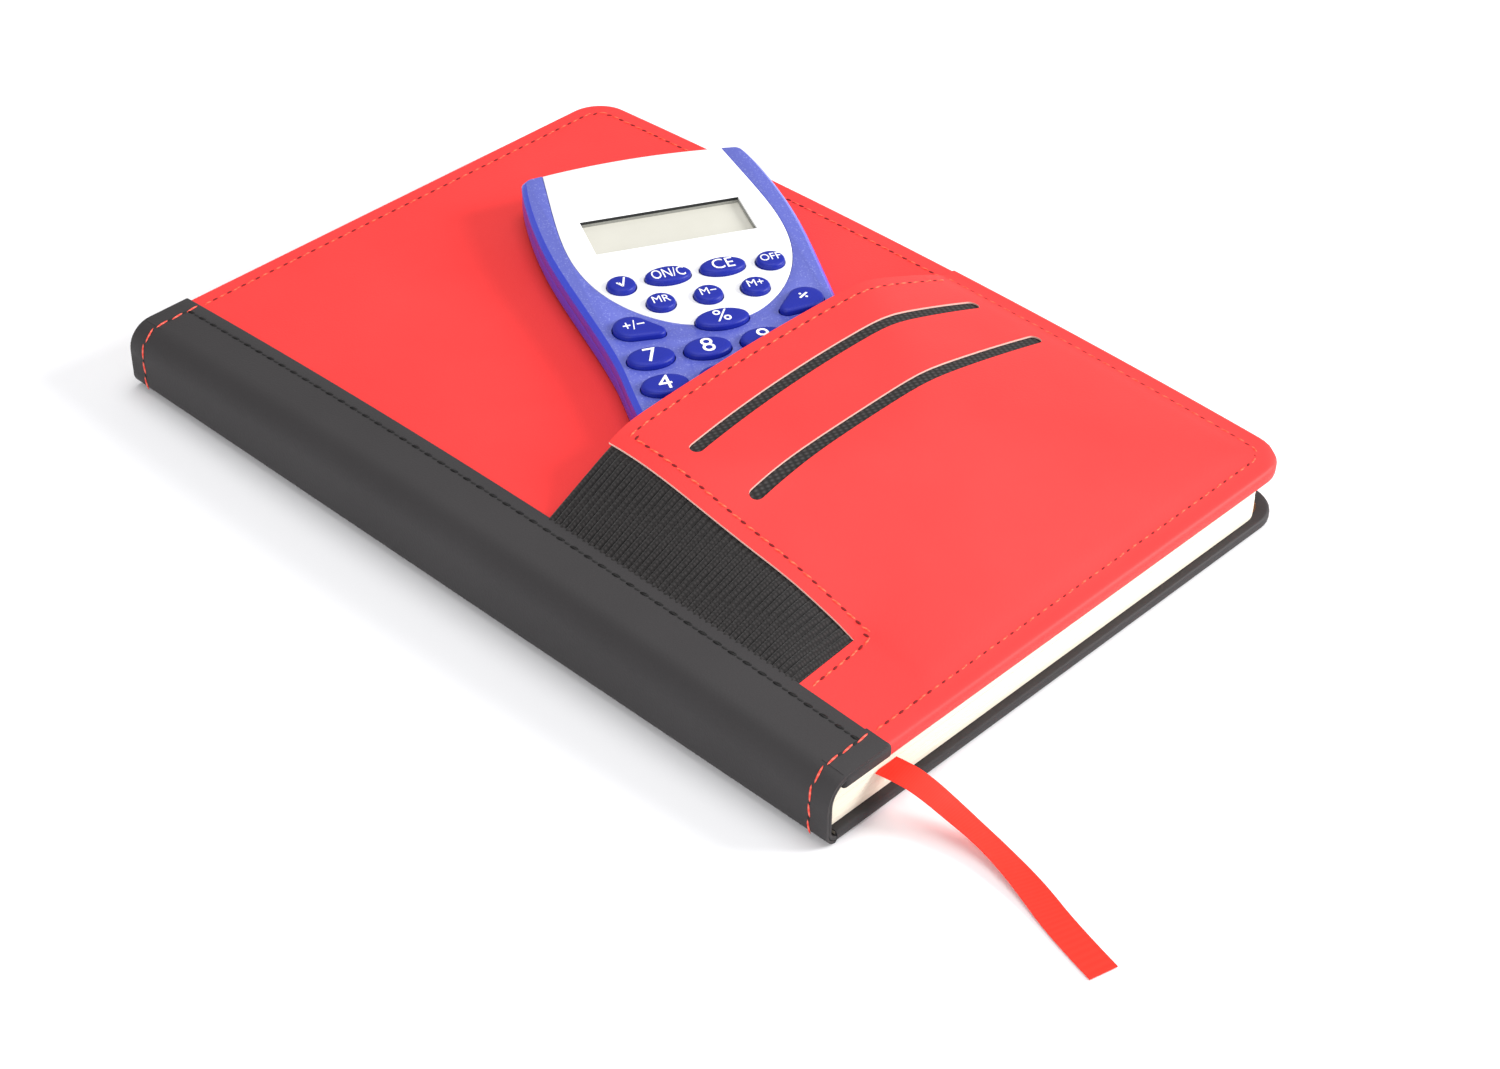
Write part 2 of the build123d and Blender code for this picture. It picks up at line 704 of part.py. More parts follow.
def panel_plan():
    """The leather panel's plan, with its gently curved mouth and the gusset's notch."""
    edge = head_y - pocket_edge_inset
    right = fore_x - pocket_edge_inset
    mouth_end = mouth_y - mouth_sag
    sides = [
        Line((seam_x, -edge), (right, -edge)),
        Line((right, -edge), (right, mouth_end)),
        ThreePointArc((right, mouth_end), (16.0, mouth_y), panel_left_high),
        Line(panel_left_high, panel_left_low),
        Line(panel_left_low, (seam_x, panel_left_low[1] - 1.2)),
        Line((seam_x, panel_left_low[1] - 1.2), (seam_x, -edge)),
    ]
    return make_face(sides) & cover_plan(pocket_edge_inset)


def slot_plans():
    slots = []
    for left, middle, right in SLOT_CENTRES:
        slots.append(SlotArc(ThreePointArc(left, middle, right), slot_width))
    return slots


def make_pocket_panel():
    panel = pocket_sheet(panel_thickness) & extrude(panel_plan(), amount=60)
    for slot in slot_plans():
        panel -= extrude(slot, amount=60)
    return whole(panel)


def make_elastic_gusset():
    return whole(pocket_sheet(gusset_thickness) & extrude(gusset_plan(), amount=60))


def make_pocket_lining():
    """Twill under the two slots, sewn to the panel's back."""
    left, right, tail, head = lining_box
    sheet = pocket_sheet(lining_thickness, drop=lining_thickness)
    return whole(sheet & block(left, right, tail, head, 0, 3 * cover_top))


# ---- Stitching ----
def stitches_along(path, count, height_at):
    """Short bars laid end to end along a plan path, each tilted to the surface under it."""
    bars = []
    for number in range(count):
        share = (number + 0.5) / count
        point = path @ share
        heading = (path % share) * (stitch_length / 2)
        ends = [point - heading, point + heading]
        ends = [Vector(end.X, end.Y, height_at(end.X, end.Y)) for end in ends]
        middle = (ends[0] + ends[1]) * 0.5
        rise = max(height_at(point.X, point.Y) - middle.Z, 0)
        centre = middle + Vector(0, 0, rise + stitch_gap + stitch_height / 2)
        along = ends[1] - ends[0]
        across = Vector(0, 0, 1).cross(along)
        seat = Plane(origin=centre, x_dir=along, z_dir=along.cross(across))
        bars.append(seat * Box(stitch_length, stitch_width, stitch_height))
    return bars


def stitch_count(path):
    return round(path.length / stitch_pitch)


def bowed_cover_at(x, y):
    return cover_top + arch_at(y)


def panel_top_at(x, y):
    """The highest of the pocket panel's facets within a stitch's width."""
    half = stitch_width / 2
    spots = [(x, y), (x - half, y), (x + half, y), (x, y - half), (x, y + half)]
    return max(facet_height(*spot) for spot in spots) + panel_thickness


def cover_surface_at(x, y):
    """The surface under a stitch: the panel where it covers, the cover elsewhere."""
    if y < mouth_y - mouth_sag:
        return panel_top_at(x, y)
    return bowed_cover_at(x, y)


def edge_path():
    inset = edge_stitch_inset
    turn = corner_radius - inset
    right = fore_x - inset
    high = head_y - inset
    start = seam_x + 2
    middle = (right - turn * (1 - math.sqrt(0.5)), high - turn * (1 - math.sqrt(0.5)))
    top = Line((start, high), (right - turn, high))
    top_turn = ThreePointArc((right - turn, high), middle, (right, high - turn))
    side = Line((right, high - turn), (right, turn - high))
    low_turn = ThreePointArc((right, turn - high), (middle[0], -middle[1]), (right - turn, -high))
    bottom = Line((right - turn, -high), (start, -high))
    return Wire([top.edge(), top_turn.edge(), side.edge(), low_turn.edge(), bottom.edge()])


def make_edge_stitching():
    path = edge_path()
    return Compound(stitches_along(path, stitch_count(path), cover_surface_at))


def make_seam_stitching():
    x = seam_x - seam_stitch_inset
    path = Line((x, -head_y + 3), (x, head_y - 3))
    return Compound(stitches_along(path, stitch_count(path), bowed_cover_at))


def make_hem_stitching():
    """Short rows across the strip at the head and the tail, where its ends turn in."""
    bars = []
    for y in (-head_y + hem_stitch_inset, head_y - hem_stitch_inset):
        path = Line((spine_x + 1.5, y), (seam_x - seam_stitch_inset - 1.5, y))
        bars += stitches_along(path, stitch_count(path), bowed_cover_at)
    return Compound(bars)


def make_pocket_stitching():
    inset = pocket_stitch_inset
    left = panel_left_high[0] + inset
    mouth_end = mouth_y - mouth_sag - inset
    mouth = ThreePointArc((left + 1, panel_left_high[1] - inset), (16.0, mouth_y - inset),
                          (fore_seam_x - 2, mouth_end))
    low = (panel_left_low[0] + inset, panel_left_low[1] - inset + 1)
    side = Line((left, panel_left_high[1] - inset - 2), (low[0], low[1] + 2))
    foot = Line((low[0] - 2, low[1]), (seam_x + 2, low[1] - 1.2))
    bars = []
    for path in (mouth, side, foot):
        bars += stitches_along(path, stitch_count(path), panel_top_at)
    return Compound(bars)


def build():
    pieces = {
        "back_cover_skin": make_back_cover_skin(),
        "back_board": make_back_board(),
        "back_endpaper": make_back_endpaper(),
        "spine_panel": make_spine_panel(),
        "spine_stiffener": make_spine_stiffener(),
        "spine_gauze": make_spine_gauze(),
        "page_block_back": make_page_block_back(),
        "page_block_front": make_page_block_front(),
        "bookmark_ribbon": make_bookmark_ribbon(),
        "ribbon_between_leaves": make_ribbon_between_leaves(),
        "front_board": make_front_board(),
        "front_padding": make_front_padding(),
        "front_endpaper": make_front_endpaper(),
        "front_cover_skin": make_front_cover_skin(),
        "spine_front_strip": make_spine_front_strip(),
        "pocket_panel": make_pocket_panel(),
        "pocket_lining": make_pocket_lining(),
        "elastic_gusset": make_elastic_gusset(),
        "edge_stitching": make_edge_stitching(),
        "seam_stitching": make_seam_stitching(),
        "hem_stitching": make_hem_stitching(),
        "pocket_stitching": make_pocket_stitching(),
    }
    calculator = {
        "calculator_back_shell": make_calculator_back_shell(),
        "calculator_front_shell": make_calculator_front_shell(),
        "face_plate": make_face_plate(),
        "display_glass": make_display_glass(),
        "display_connector": make_display_connector(),
        "rubber_keypad": make_rubber_keypad(),
        "circuit_board": make_circuit_board(),
        "button_cell": make_button_cell(),
        "battery_contacts": make_battery_contacts(),
        "battery_door": make_battery_door(),
        "shell_screws": make_shell_screws(),
    }
    for name, place, outline in key_places():
        calculator["key_" + name] = make_key(place, outline)
    for name, shape in calculator.items():
        pieces[name] = CALCULATOR * shape
    return pieces


os.makedirs("parts", exist_ok=True)
for node, shape in build().items():
    export_step(shape, f"parts/{node}.step")
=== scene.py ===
import math
import random

import bmesh
import bpy
from mathutils import Matrix, Vector
from mathutils.geometry import convex_hull_2d


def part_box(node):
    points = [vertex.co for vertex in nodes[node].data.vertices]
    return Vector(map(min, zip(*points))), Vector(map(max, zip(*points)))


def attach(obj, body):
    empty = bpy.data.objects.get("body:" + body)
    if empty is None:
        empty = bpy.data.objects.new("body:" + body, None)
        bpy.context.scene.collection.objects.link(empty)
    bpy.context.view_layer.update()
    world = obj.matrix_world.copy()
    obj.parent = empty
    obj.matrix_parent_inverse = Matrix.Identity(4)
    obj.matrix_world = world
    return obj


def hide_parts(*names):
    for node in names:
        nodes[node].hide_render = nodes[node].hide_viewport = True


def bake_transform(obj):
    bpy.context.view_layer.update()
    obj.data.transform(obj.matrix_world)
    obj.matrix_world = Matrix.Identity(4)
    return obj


# The visible notebook around its CAD frame. Pieces are modelled in millimetres, at the places that
# the frame gives, and finish_piece brings each one to metres. Object coordinates are metres, so a
# pattern of w mm has a scale of 1000 / w.

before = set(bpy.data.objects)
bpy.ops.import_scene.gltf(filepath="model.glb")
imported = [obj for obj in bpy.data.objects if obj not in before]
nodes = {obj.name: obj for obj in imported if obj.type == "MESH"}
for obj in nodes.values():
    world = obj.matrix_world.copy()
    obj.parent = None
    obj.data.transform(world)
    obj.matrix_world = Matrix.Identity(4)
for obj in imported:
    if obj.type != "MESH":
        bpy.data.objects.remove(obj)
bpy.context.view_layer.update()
MM = 0.001


def extent(node):
    """A CAD node's lowest and highest corner, in millimetres."""
    low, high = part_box(node)
    return low / MM, high / MM


# ---- Sizes that the frame gives ----
skin_low, skin_high = extent("front_cover_skin")
back_low, back_high = extent("page_block_back")
front_low, front_high = extent("page_block_front")
lining_low, lining_high = extent("pocket_lining")
spine_x = extent("spine_panel")[0].x
back_top = extent("back_cover_skin")[1].z
plate_top = extent("face_plate")[1].z
glass_top = extent("display_glass")[1].z

cover_arch = 3.0
leaf_arch = 2.9
half_height = skin_high.y
fore_x = skin_high.x
seam_x = skin_low.x
cover_top = skin_high.z - cover_arch
board_bottom = skin_low.z
corner_radius = 8.5
face_z = plate_top - 0.08

# ---- Leather ----
leather = 0.55
turn_in = 3.0
turn_in_depth = 0.25
strip_lift = 0.6          # the black strip's folded edge stands over the red leather
cover_edge_round = 1.0
back_edge_round = 0.8
hem_depth = 8.0           # how far the spine's ends are turned in
hem_layer = 0.95
hem_lip_round = 0.35
wrap_depth = 6.0          # how far the leather goes round the front board's ends
wrap_start = 4.7          # from the spine
wrap_drop = 0.8           # below the board
wrap_round = 1.15
wrap_proud = 0.25
wrap_reach_tail = 1.5     # past the seam, where the tab shows
wrap_reach_head = 0.7
spine_top_round = 6.0
spine_low_round = 3.0
flex_start_z = 9.0        # the spine bends with the cover from here
flex_end_z = 14.3         # and is part of the cover from here
spine_flex = ("notebook", "front_cover", (spine_x * MM, 0, flex_start_z * MM),
              (spine_x * MM, 0, flex_end_z * MM))

# ---- Pocket ----
panel_left_low = (-38.5, -81.0)
panel_left_high = (-36.6, -11.4)
mouth_middle = (16.0, -9.0)
mouth_end_y = -11.6
panel_thickness = 0.8      # from the sheet's underside to the leather's face
panel_leather = 0.45
edge_roll = 1.1           # the panel rolls over the cover's edge with this radius
pocket_edge_inset = -0.06   # below zero: the panel just covers the cover's edge
pocket_plateau = 27.4
pocket_margin = 6.0
ridge_round = 6.0
panel_settle = 4.0        # the leather is pressed thin at its seams and full this far inside
pocket_seat_gap = 0.03
fore_seam_x = fore_x - 4.2
tail_seam_y = -half_height + 4.4
slot_width = 3.2
twill_thickness = 0.25
SLOT_CENTRES = [
    [(-26.8, -26.9), (18.0, -23.4), (60.3, -25.9)],
    [(-27.4, -44.3), (16.0, -43.0), (60.7, -43.4)],
]
rib_pitch = 1.6
rib_height = 0.55
rib_foot = 0.1            # the valleys between the ribs stand this far over the sheet's line
webbing_thickness = 0.5
webbing_tuck = 0.8        # under the panel's left edge
webbing_seam_tuck = 0.4   # under the black strip
page_corner_radius = 5.0
page_swell = 0.2          # paper springs open into the gap where the ribbon lies
leaf_unevenness = 0.10
section_fold = 0.35       # how deep the folds between the sewn sections are
gutter_reach = 8.0        # how far the gutter leaf is glued onto each block

# ---- Calculator, in its own plan ----
CALCULATOR = Matrix.Translation((21.65, 22.15, 0)) @ Matrix.Rotation(math.radians(-27.9), 4, "Z")
calculator_half = 26.9
calculator_corner = 19.0
calculator_low_y = -69.0
window = (-18.9, 18.9, 12.4, 26.4)
key_skirt = 1.2           # below the face
key_wall = 0.72           # straight, above the face
key_rise = 1.4
# The dome's rings: the share of the key's outline, and the height above the face.
KEY_DOME = [(0.985, 0.9), (0.95, 1.08), (0.9, 1.22), (0.83, 1.31), (0.68, 1.37), (0.4, key_rise)]
capital_share = 0.7       # a capital's height in the font's size
number_height = 4.9
legend_lift = 0.05        # the ink's middle over the dome
legend_ink = 0.04
legend_widths = {1: 0.92, 2: 0.8, 3: 0.74, 4: 0.62}   # narrower letters on longer legends
plate_joint = 0.14        # the fine joint round the white plate
plate_middle_y = 15.0
plate_half_width = 25.0
column_pitch = 12.6
row_pitch = 10.4
first_row_y = -30.2

# ---- Ribbon: from between the leaves to the free end, up to 3.2 mm beside the CAD route ----
RIBBON_ROUTE = [
    (-53.4, -103.1, 7.975),
    (-52.5, -107.6, 7.9),
    (-51.4, -112.6, 6.0),
    (-50.6, -118.6, 3.2),
    (-50.4, -127.1, 0.4),
    (-52.9, -138.2, 0.125),
    (-57.0, -149.6, 0.125),
    (-60.0, -161.2, 0.125),
]
ribbon_width = 6.2
ribbon_thickness = 0.22
ribbon_tuck = 0.5         # the free end starts this far under the leaves' end
ribbon_cords = 78.5       # in its whole length
ribbon_lift = 0.04
ribbon_tip = -17.0        # degrees that the ribbon tips over, most at this share of its length
ribbon_tip_share = 0.42
ribbon_tip_spread = 0.22

# ---- Stitches ----
stitch_pitch = 4.0
stitch_length = 2.5
stitch_width = 0.48
stitch_height = 0.36
stitch_slant = 7.0        # degrees off the row
stitch_lift = 0.05        # a thread's middle over the leather
stitch_dip = 0.16         # its ends go down into the holes
# The dark bead between two threads is painted shade of the needle hole: its length, width and
# height.
hole_shade_bead = (1.5, 0.6, 0.24)
seam_thread_width = 0.8   # the seam is sewn with the thicker thread
hem_stitch_pitch = 4.3
hem_stitch_length = 3.8
edge_stitch_inset = 4.4
seam_stitch_inset = 2.9
pocket_stitch_inset = 3.0
hem_stitch_inset = 4.6


# ---- Camera: degrees and metres ----
camera_azimuth = -46.54
camera_elevation = 38.30
camera_roll = 0.82
camera_place = (-0.36968, -0.36690, 0.38715)
camera_lens = 71.52


def make_camera():
    camera = bpy.data.objects.new("camera", bpy.data.cameras.new("camera"))
    bpy.context.scene.collection.objects.link(camera)
    azimuth = math.radians(camera_azimuth)
    elevation = math.radians(camera_elevation)
    roll = math.radians(camera_roll)
    back = Vector((math.sin(azimuth) * math.cos(elevation),
                   -math.cos(azimuth) * math.cos(elevation), math.sin(elevation)))
    right = Vector((math.cos(azimuth), math.sin(azimuth), 0))
    up = back.cross(right)
    turned_right = right * math.cos(roll) + up * math.sin(roll)
    turned_up = up * math.cos(roll) - right * math.sin(roll)
    turn = Matrix((turned_right, turned_up, back)).transposed()
    camera.matrix_world = Matrix.Translation(camera_place) @ turn.to_4x4()
    camera.data.lens = camera_lens
    camera.data.sensor_width = 36
    camera.data.clip_start = 0.01
    bpy.context.scene.camera = camera


make_camera()


# ---- Modelling helpers ----
def deselect():
    active = bpy.context.view_layer.objects.active
    if active and active.mode != "OBJECT":
        bpy.ops.object.mode_set(mode="OBJECT")
    bpy.ops.object.select_all(action="DESELECT")


def activate(piece):
    deselect()
    piece.select_set(True)
    bpy.context.view_layer.objects.active = piece


def named(name):
    """The primitive that was just added, as a new piece."""
    piece = bpy.context.view_layer.objects.active
    piece.name = name
    piece.data.name = name
    return piece


def edit(piece):
    activate(piece)
    bpy.ops.object.mode_set(mode="EDIT")


def leave():
    bpy.ops.object.mode_set(mode="OBJECT")


def pick(piece, rule, kind="FACE"):
    """In edit mode, selects the faces, edges or corners whose place and direction fit a rule."""
    bpy.ops.mesh.select_mode(type=kind)
    bpy.ops.mesh.select_all(action="DESELECT")
    mesh = bmesh.from_edit_mesh(piece.data)
    mesh.normal_update()
    if kind == "FACE":
        found = [face for face in mesh.faces if rule(face.calc_center_median(), face.normal)]
    elif kind == "EDGE":
        found = []
        for edge in mesh.edges:
            first, second = (corner.co for corner in edge.verts)
            if rule((first + second) / 2, (second - first).normalized(), edge.is_boundary):
                found.append(edge)
    else:
        found = [corner for corner in mesh.verts if rule(corner.co)]
    for part in found:
        part.select_set(True)
    mesh.select_flush_mode()
    bmesh.update_edit_mesh(piece.data)
    return len(found)


def extrude(step):
    bpy.ops.mesh.extrude_region_move(TRANSFORM_OT_translate={"value": step})


def face_out(piece):
    """Merges doubles and turns every face away from the inside."""
    edit(piece)
    bpy.ops.mesh.select_all(action="SELECT")
    bpy.ops.mesh.remove_doubles(threshold=0.0001)
    bpy.ops.mesh.normals_make_consistent(inside=False)
    leave()


def modify(piece, kind, **settings):
    activate(piece)
    modifier = piece.modifiers.new(kind.title(), kind)
    for key, value in settings.items():
        setattr(modifier, key, value)
    bpy.ops.object.modifier_apply(modifier=modifier.name)


def soften(piece, width, segments=2, angle=0.6):
    """Rounds the edges whose faces meet at more than an angle, in radians."""
    modify(piece, "BEVEL", width=width, segments=segments, limit_method="ANGLE", angle_limit=angle)


def bisect_all(piece, places, normal):
    """Cuts the whole mesh at each place along a direction, keeping both sides."""
    edit(piece)
    for place in places:
        bpy.ops.mesh.select_all(action="SELECT")
        bpy.ops.mesh.bisect(plane_co=Vector(normal) * place, plane_no=normal)
    leave()


def steps(low, high, count):
    """The places that divide a length into equal parts, without its ends."""
    return [low + (high - low) * number / count for number in range(1, count)]


def finish_piece(piece, body, materials, stands_for=(), place=None, smooth=35):
    """Brings a piece to metres with its place in its mesh, and fixes it to its body when the body
    is a name; with any other body it is left in place, fixed to no body.
    """
    activate(piece)
    piece.matrix_world = Matrix.Scale(MM, 4) @ (place or Matrix.Identity(4)) @ piece.matrix_world
    bpy.ops.object.transform_apply(location=True, rotation=True, scale=True)
    if smooth:
        bpy.ops.object.shade_smooth_by_angle(angle=math.radians(smooth))
    for material in materials if isinstance(materials, list) else [materials]:
        piece.data.materials.append(material)
    if isinstance(body, str):
        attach(piece, body)
    else:
        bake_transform(piece)
    if stands_for:
        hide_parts(*stands_for)
    return piece


def box_piece(name, low, high):
    deselect()
    centre = [(a + b) / 2 for a, b in zip(low, high)]
    size = [b - a for a, b in zip(low, high)]
    bpy.ops.mesh.primitive_cube_add(size=1, location=centre, scale=size)
    piece = named(name)
    bpy.ops.object.transform_apply(location=True, rotation=True, scale=True)
    return piece


def outline_piece(name, points, z):
    """A flat face with the given outline."""
    deselect()
    bpy.ops.mesh.primitive_circle_add(vertices=len(points), radius=1, fill_type="NGON")
    piece = named(name)
    for corner, point in zip(piece.data.vertices, points):
        corner.co = (point[0], point[1], z)
    return piece


def prism(name, points, low, high):
    piece = outline_piece(name, points, low)
    edit(piece)
    bpy.ops.mesh.select_all(action="SELECT")
    extrude((0, 0, high - low))
    leave()
    face_out(piece)
    return piece


def cut(piece, tool, operation):
    modify(piece, "BOOLEAN", object=tool, operation=operation, solver="EXACT")
    bpy.data.objects.remove(tool)


def slab(name, low, high, thickness, pitch):
    """A flat plate in squares, ready to be cut out and laid over a surface."""
    deselect()
    columns = round((high[0] - low[0]) / pitch)
    rows = round((high[1] - low[1]) / pitch)
    bpy.ops.mesh.primitive_grid_add(x_subdivisions=columns, y_subdivisions=rows, size=1)
    piece = named(name)
    piece.location = ((low[0] + high[0]) / 2, (low[1] + high[1]) / 2, 0)
    piece.scale = (high[0] - low[0], high[1] - low[1], 1)
    bpy.ops.object.transform_apply(location=True, rotation=True, scale=True)
    edit(piece)
    bpy.ops.mesh.select_all(action="SELECT")
    extrude((0, 0, thickness))
    leave()
    face_out(piece)
    return piece


def drape(piece, surface):
    """Lays a flat plate over a surface, each point by its own height."""
    for corner in piece.data.vertices:
        corner.co.z += surface(corner.co.x, corner.co.y)
    piece.data.update()


# ---- Surfaces and outlines ----
def arch_at(y, rise=cover_arch):
    radius = (half_height ** 2 + rise ** 2) / (2 * rise)
    return math.sqrt(radius ** 2 - y ** 2) - (radius - rise)


def arc(centre, radius, start, end, count):
    """Points on an arc, angles in degrees."""
    points = []
    for number in range(count + 1):
        angle = math.radians(start + (end - start) * number / count)
        points.append((centre[0] + radius * math.cos(angle), centre[1] + radius * math.sin(angle)))
    return points


def arc_through(first, middle, last, count):
    """Points on the arc through three points in plan."""
    (ax, ay), (bx, by), (cx, cy) = first, middle, last
    d = 2 * (ax * (by - cy) + bx * (cy - ay) + cx * (ay - by))
    a2, b2, c2 = ax * ax + ay * ay, bx * bx + by * by, cx * cx + cy * cy
    ux = (a2 * (by - cy) + b2 * (cy - ay) + c2 * (ay - by)) / d
    uy = (a2 * (cx - bx) + b2 * (ax - cx) + c2 * (bx - ax)) / d
    start = math.degrees(math.atan2(ay - uy, ax - ux))
    end = math.degrees(math.atan2(cy - uy, cx - ux))
    return arc((ux, uy), math.hypot(ax - ux, ay - uy), start, end, count)


def ellipse(half_x, half_y, count=40):
    return [(x * half_x, y * half_y) for x, y in arc((0, 0), 1, 0, 360, count)[:-1]]


def seam_distance(x, y):
    """How far a plan point of the pocket is from the nearest sewn edge."""
    if x < panel_left_low[0]:
        return max(min(x - seam_x, y - panel_left_low[1]), 0)
    corner = math.hypot(x - panel_left_low[0], max(y - panel_left_low[1], 0))
    return max(min(x - seam_x, fore_seam_x - x, y - tail_seam_y, corner), 0)


def stretched_underside(x, y):
    """The pocket's sheet drawn tight between its sewn edges and the calculator."""
    base = cover_top + arch_at(y) + pocket_seat_gap
    to_seam = seam_distance(x, y)
    if to_seam == 0:
        return base
    local = CALCULATOR.inverted() @ Vector((x, y, 0))
    side = max(abs(local.x) - (calculator_half - calculator_corner), 0)
    end = max(calculator_low_y + calculator_corner - local.y, 0)
    to_body = max(math.hypot(side, end) - calculator_corner - pocket_margin, 0)
    return base + (pocket_plateau - base) * to_seam / (to_seam + to_body)


def pocket_underside(x, y):
    """The same sheet with its ridges rounded, as soft leather has them."""
    reach = min(ridge_round, seam_distance(x, y))
    if reach == 0:
        return stretched_underside(x, y)
    total = stretched_underside(x, y) * 2
    weight = 2
    for radius in (reach / 2, reach):
        for px, py in arc((x, y), radius, 0, 315, 7):
            total += stretched_underside(px, py)
            weight += 1
    return total / weight


def mouth_points():
    right = fore_x - pocket_edge_inset
    return arc_through((right, mouth_end_y), mouth_middle, panel_left_high, 36)


def panel_outline():
    """The leather panel in plan, with rounded tail corner and the gusset's notch."""
    tail = -half_height + pocket_edge_inset
    right = fore_x - pocket_edge_inset
    turn = corner_radius - pocket_edge_inset
    foot = (seam_x - 0.4, panel_left_low[1] - 1.2)
    corner = arc((right - turn, tail + turn), turn, -90, 0, 10)
    return [(seam_x - 0.4, tail)] + corner + mouth_points() + [panel_left_low, foot]


def slot_outline(left, middle, right):
    """A slot with round ends along a gentle arc."""
    line = arc_through(left, middle, right, 24)
    half = slot_width / 2
    first, last = Vector(line[1]) - Vector(line[0]), Vector(line[-1]) - Vector(line[-2])
    start = math.degrees(math.atan2(first.y, first.x))
    end = math.degrees(math.atan2(last.y, last.x))
    upper, lower = [], []
    for before, here, after in zip(line, line[1:], line[2:]):
        heading = (Vector(after) - Vector(before)).normalized()
        across = Vector((-heading.y, heading.x)) * half
        upper.append(tuple(Vector(here) + across))
        lower.append(tuple(Vector(here) - across))
    return (arc(line[-1], half, end - 90, end + 90, 8) + upper[::-1]
            + arc(line[0], half, start + 90, start + 270, 8) + lower)


# ---- Materials ----
def linear(code):
    """A #RRGGBB colour as Blender's linear RGBA."""
    channels = [int(code[place:place + 2], 16) / 255 for place in (1, 3, 5)]
    return [c / 12.92 if c <= 0.04045 else ((c + 0.055) / 1.055) ** 2.4 for c in channels] + [1]


def add_node(tree, kind, inputs=None, **settings):
    """Adds a node, sets its properties, and sets or links its sockets."""
    node = tree.nodes.new("ShaderNode" + kind)
    for key, value in settings.items():
        setattr(node, key, value)
    for key, value in (inputs or {}).items():
        if isinstance(value, bpy.types.NodeSocket):
            tree.links.new(value, node.inputs[key])
        else:
            node.inputs[key].default_value = value
    return node


def new_material(name, **constants):
    """A Principled material with its constants on the shader's own sockets."""
    material = bpy.data.materials.new(name)
    material.use_nodes = True
    tree = material.node_tree
    shader = tree.nodes["Principled BSDF"]
    for key, value in constants.items():
        shader.inputs[key.replace("_", " ")].default_value = value
    return material, tree, shader


def dress(tree, shader, tone, dark, light, relief, depth_mm):
    """Colours a surface between two tones and gives it its relief."""
    colour = add_node(tree, "Mix", {"Factor": tone, 6: linear(dark), 7: linear(light)},
                      data_type="RGBA")
    bumps = add_node(tree, "Bump", {"Height": relief, "Distance": depth_mm * MM})
    tree.links.new(colour.outputs[2], shader.inputs["Base Color"])
    tree.links.new(bumps.outputs["Normal"], shader.inputs["Normal"])


def stripe_scale(pitch_mm):
    """The scale at which a Wave texture's straight bands stand this far apart."""
    return 1000 * math.tau / 20 / pitch_mm


def coated_leather(name, dark, light, roughness, grain_mm=0.45, grain_depth=0.02):
    """Polyurethane leather, calendered smooth.

    The eye gets a soft matte sheen, a slow mottle in the colour and a faint pore grain.
    """
    material, tree, shader = new_material(name, Roughness=roughness, IOR=1.5,
                                          Specular_IOR_Level=0.22)
    place = add_node(tree, "TexCoord").outputs["Object"]
    mottle = add_node(tree, "TexNoise", {"Vector": place, "Scale": 1000 / 26, "Detail": 3})
    pores = add_node(tree, "TexVoronoi", {"Vector": place, "Scale": 1000 / grain_mm})
    dress(tree, shader, mottle.outputs[0], dark, light, pores.outputs[0], grain_depth)
    return material


def twisted_thread(name, dark, light):
    """Bonded polyester thread: its twist shows as slanting plies, 1 mm apart, lighter on their
    crowns and darker between them, a painted highlight and shade.
    """
    material, tree, shader = new_material(name, Roughness=0.5, Specular_IOR_Level=0.25)
    place = add_node(tree, "TexCoord").outputs["Object"]
    plies = add_node(tree, "TexWave", {"Vector": place, "Scale": stripe_scale(0.8883)},
                     bands_direction="DIAGONAL")
    # The plies' light and dark tones are painted highlight and shade of the twist.
    dress(tree, shader, plies.outputs[1], dark, light, plies.outputs[1], 0.06)
    return material


def knitted_webbing(name):
    """Polyester elastic webbing.

    The eye gets rows of small grey loops, and a little fuzz; the dark between the loops is painted
    shade.
    """
    material, tree, shader = new_material(name, Roughness=0.85, Sheen_Weight=0.15,
                                          Specular_IOR_Level=0.2)
    place = add_node(tree, "TexCoord").outputs["Object"]
    squeezed = add_node(tree, "Mapping", {"Vector": place, "Scale": (1000 / 0.8, 1000 / 0.8, 0)})
    loops = add_node(tree, "TexVoronoi", {"Vector": squeezed.outputs[0], "Scale": 1.0,
                                          "Randomness": 0.25}, voronoi_dimensions="2D")
    # Lighter loop tops and darker gaps between the loops: painted shade.
    loop_shade = add_node(tree, "MapRange", {0: loops.outputs[0], 1: 0.12, 2: 0.5})
    fuzz = add_node(tree, "TexNoise", {"Vector": place, "Scale": 1000 / 0.35, "Detail": 2})
    height = add_node(tree, "Math", {0: loops.outputs[0], 1: fuzz.outputs[0]}, operation="MULTIPLY")
    dress(tree, shader, loop_shade.outputs[0], "#322F2F", "#1D1B1B", height.outputs[0], -0.2)
    return material


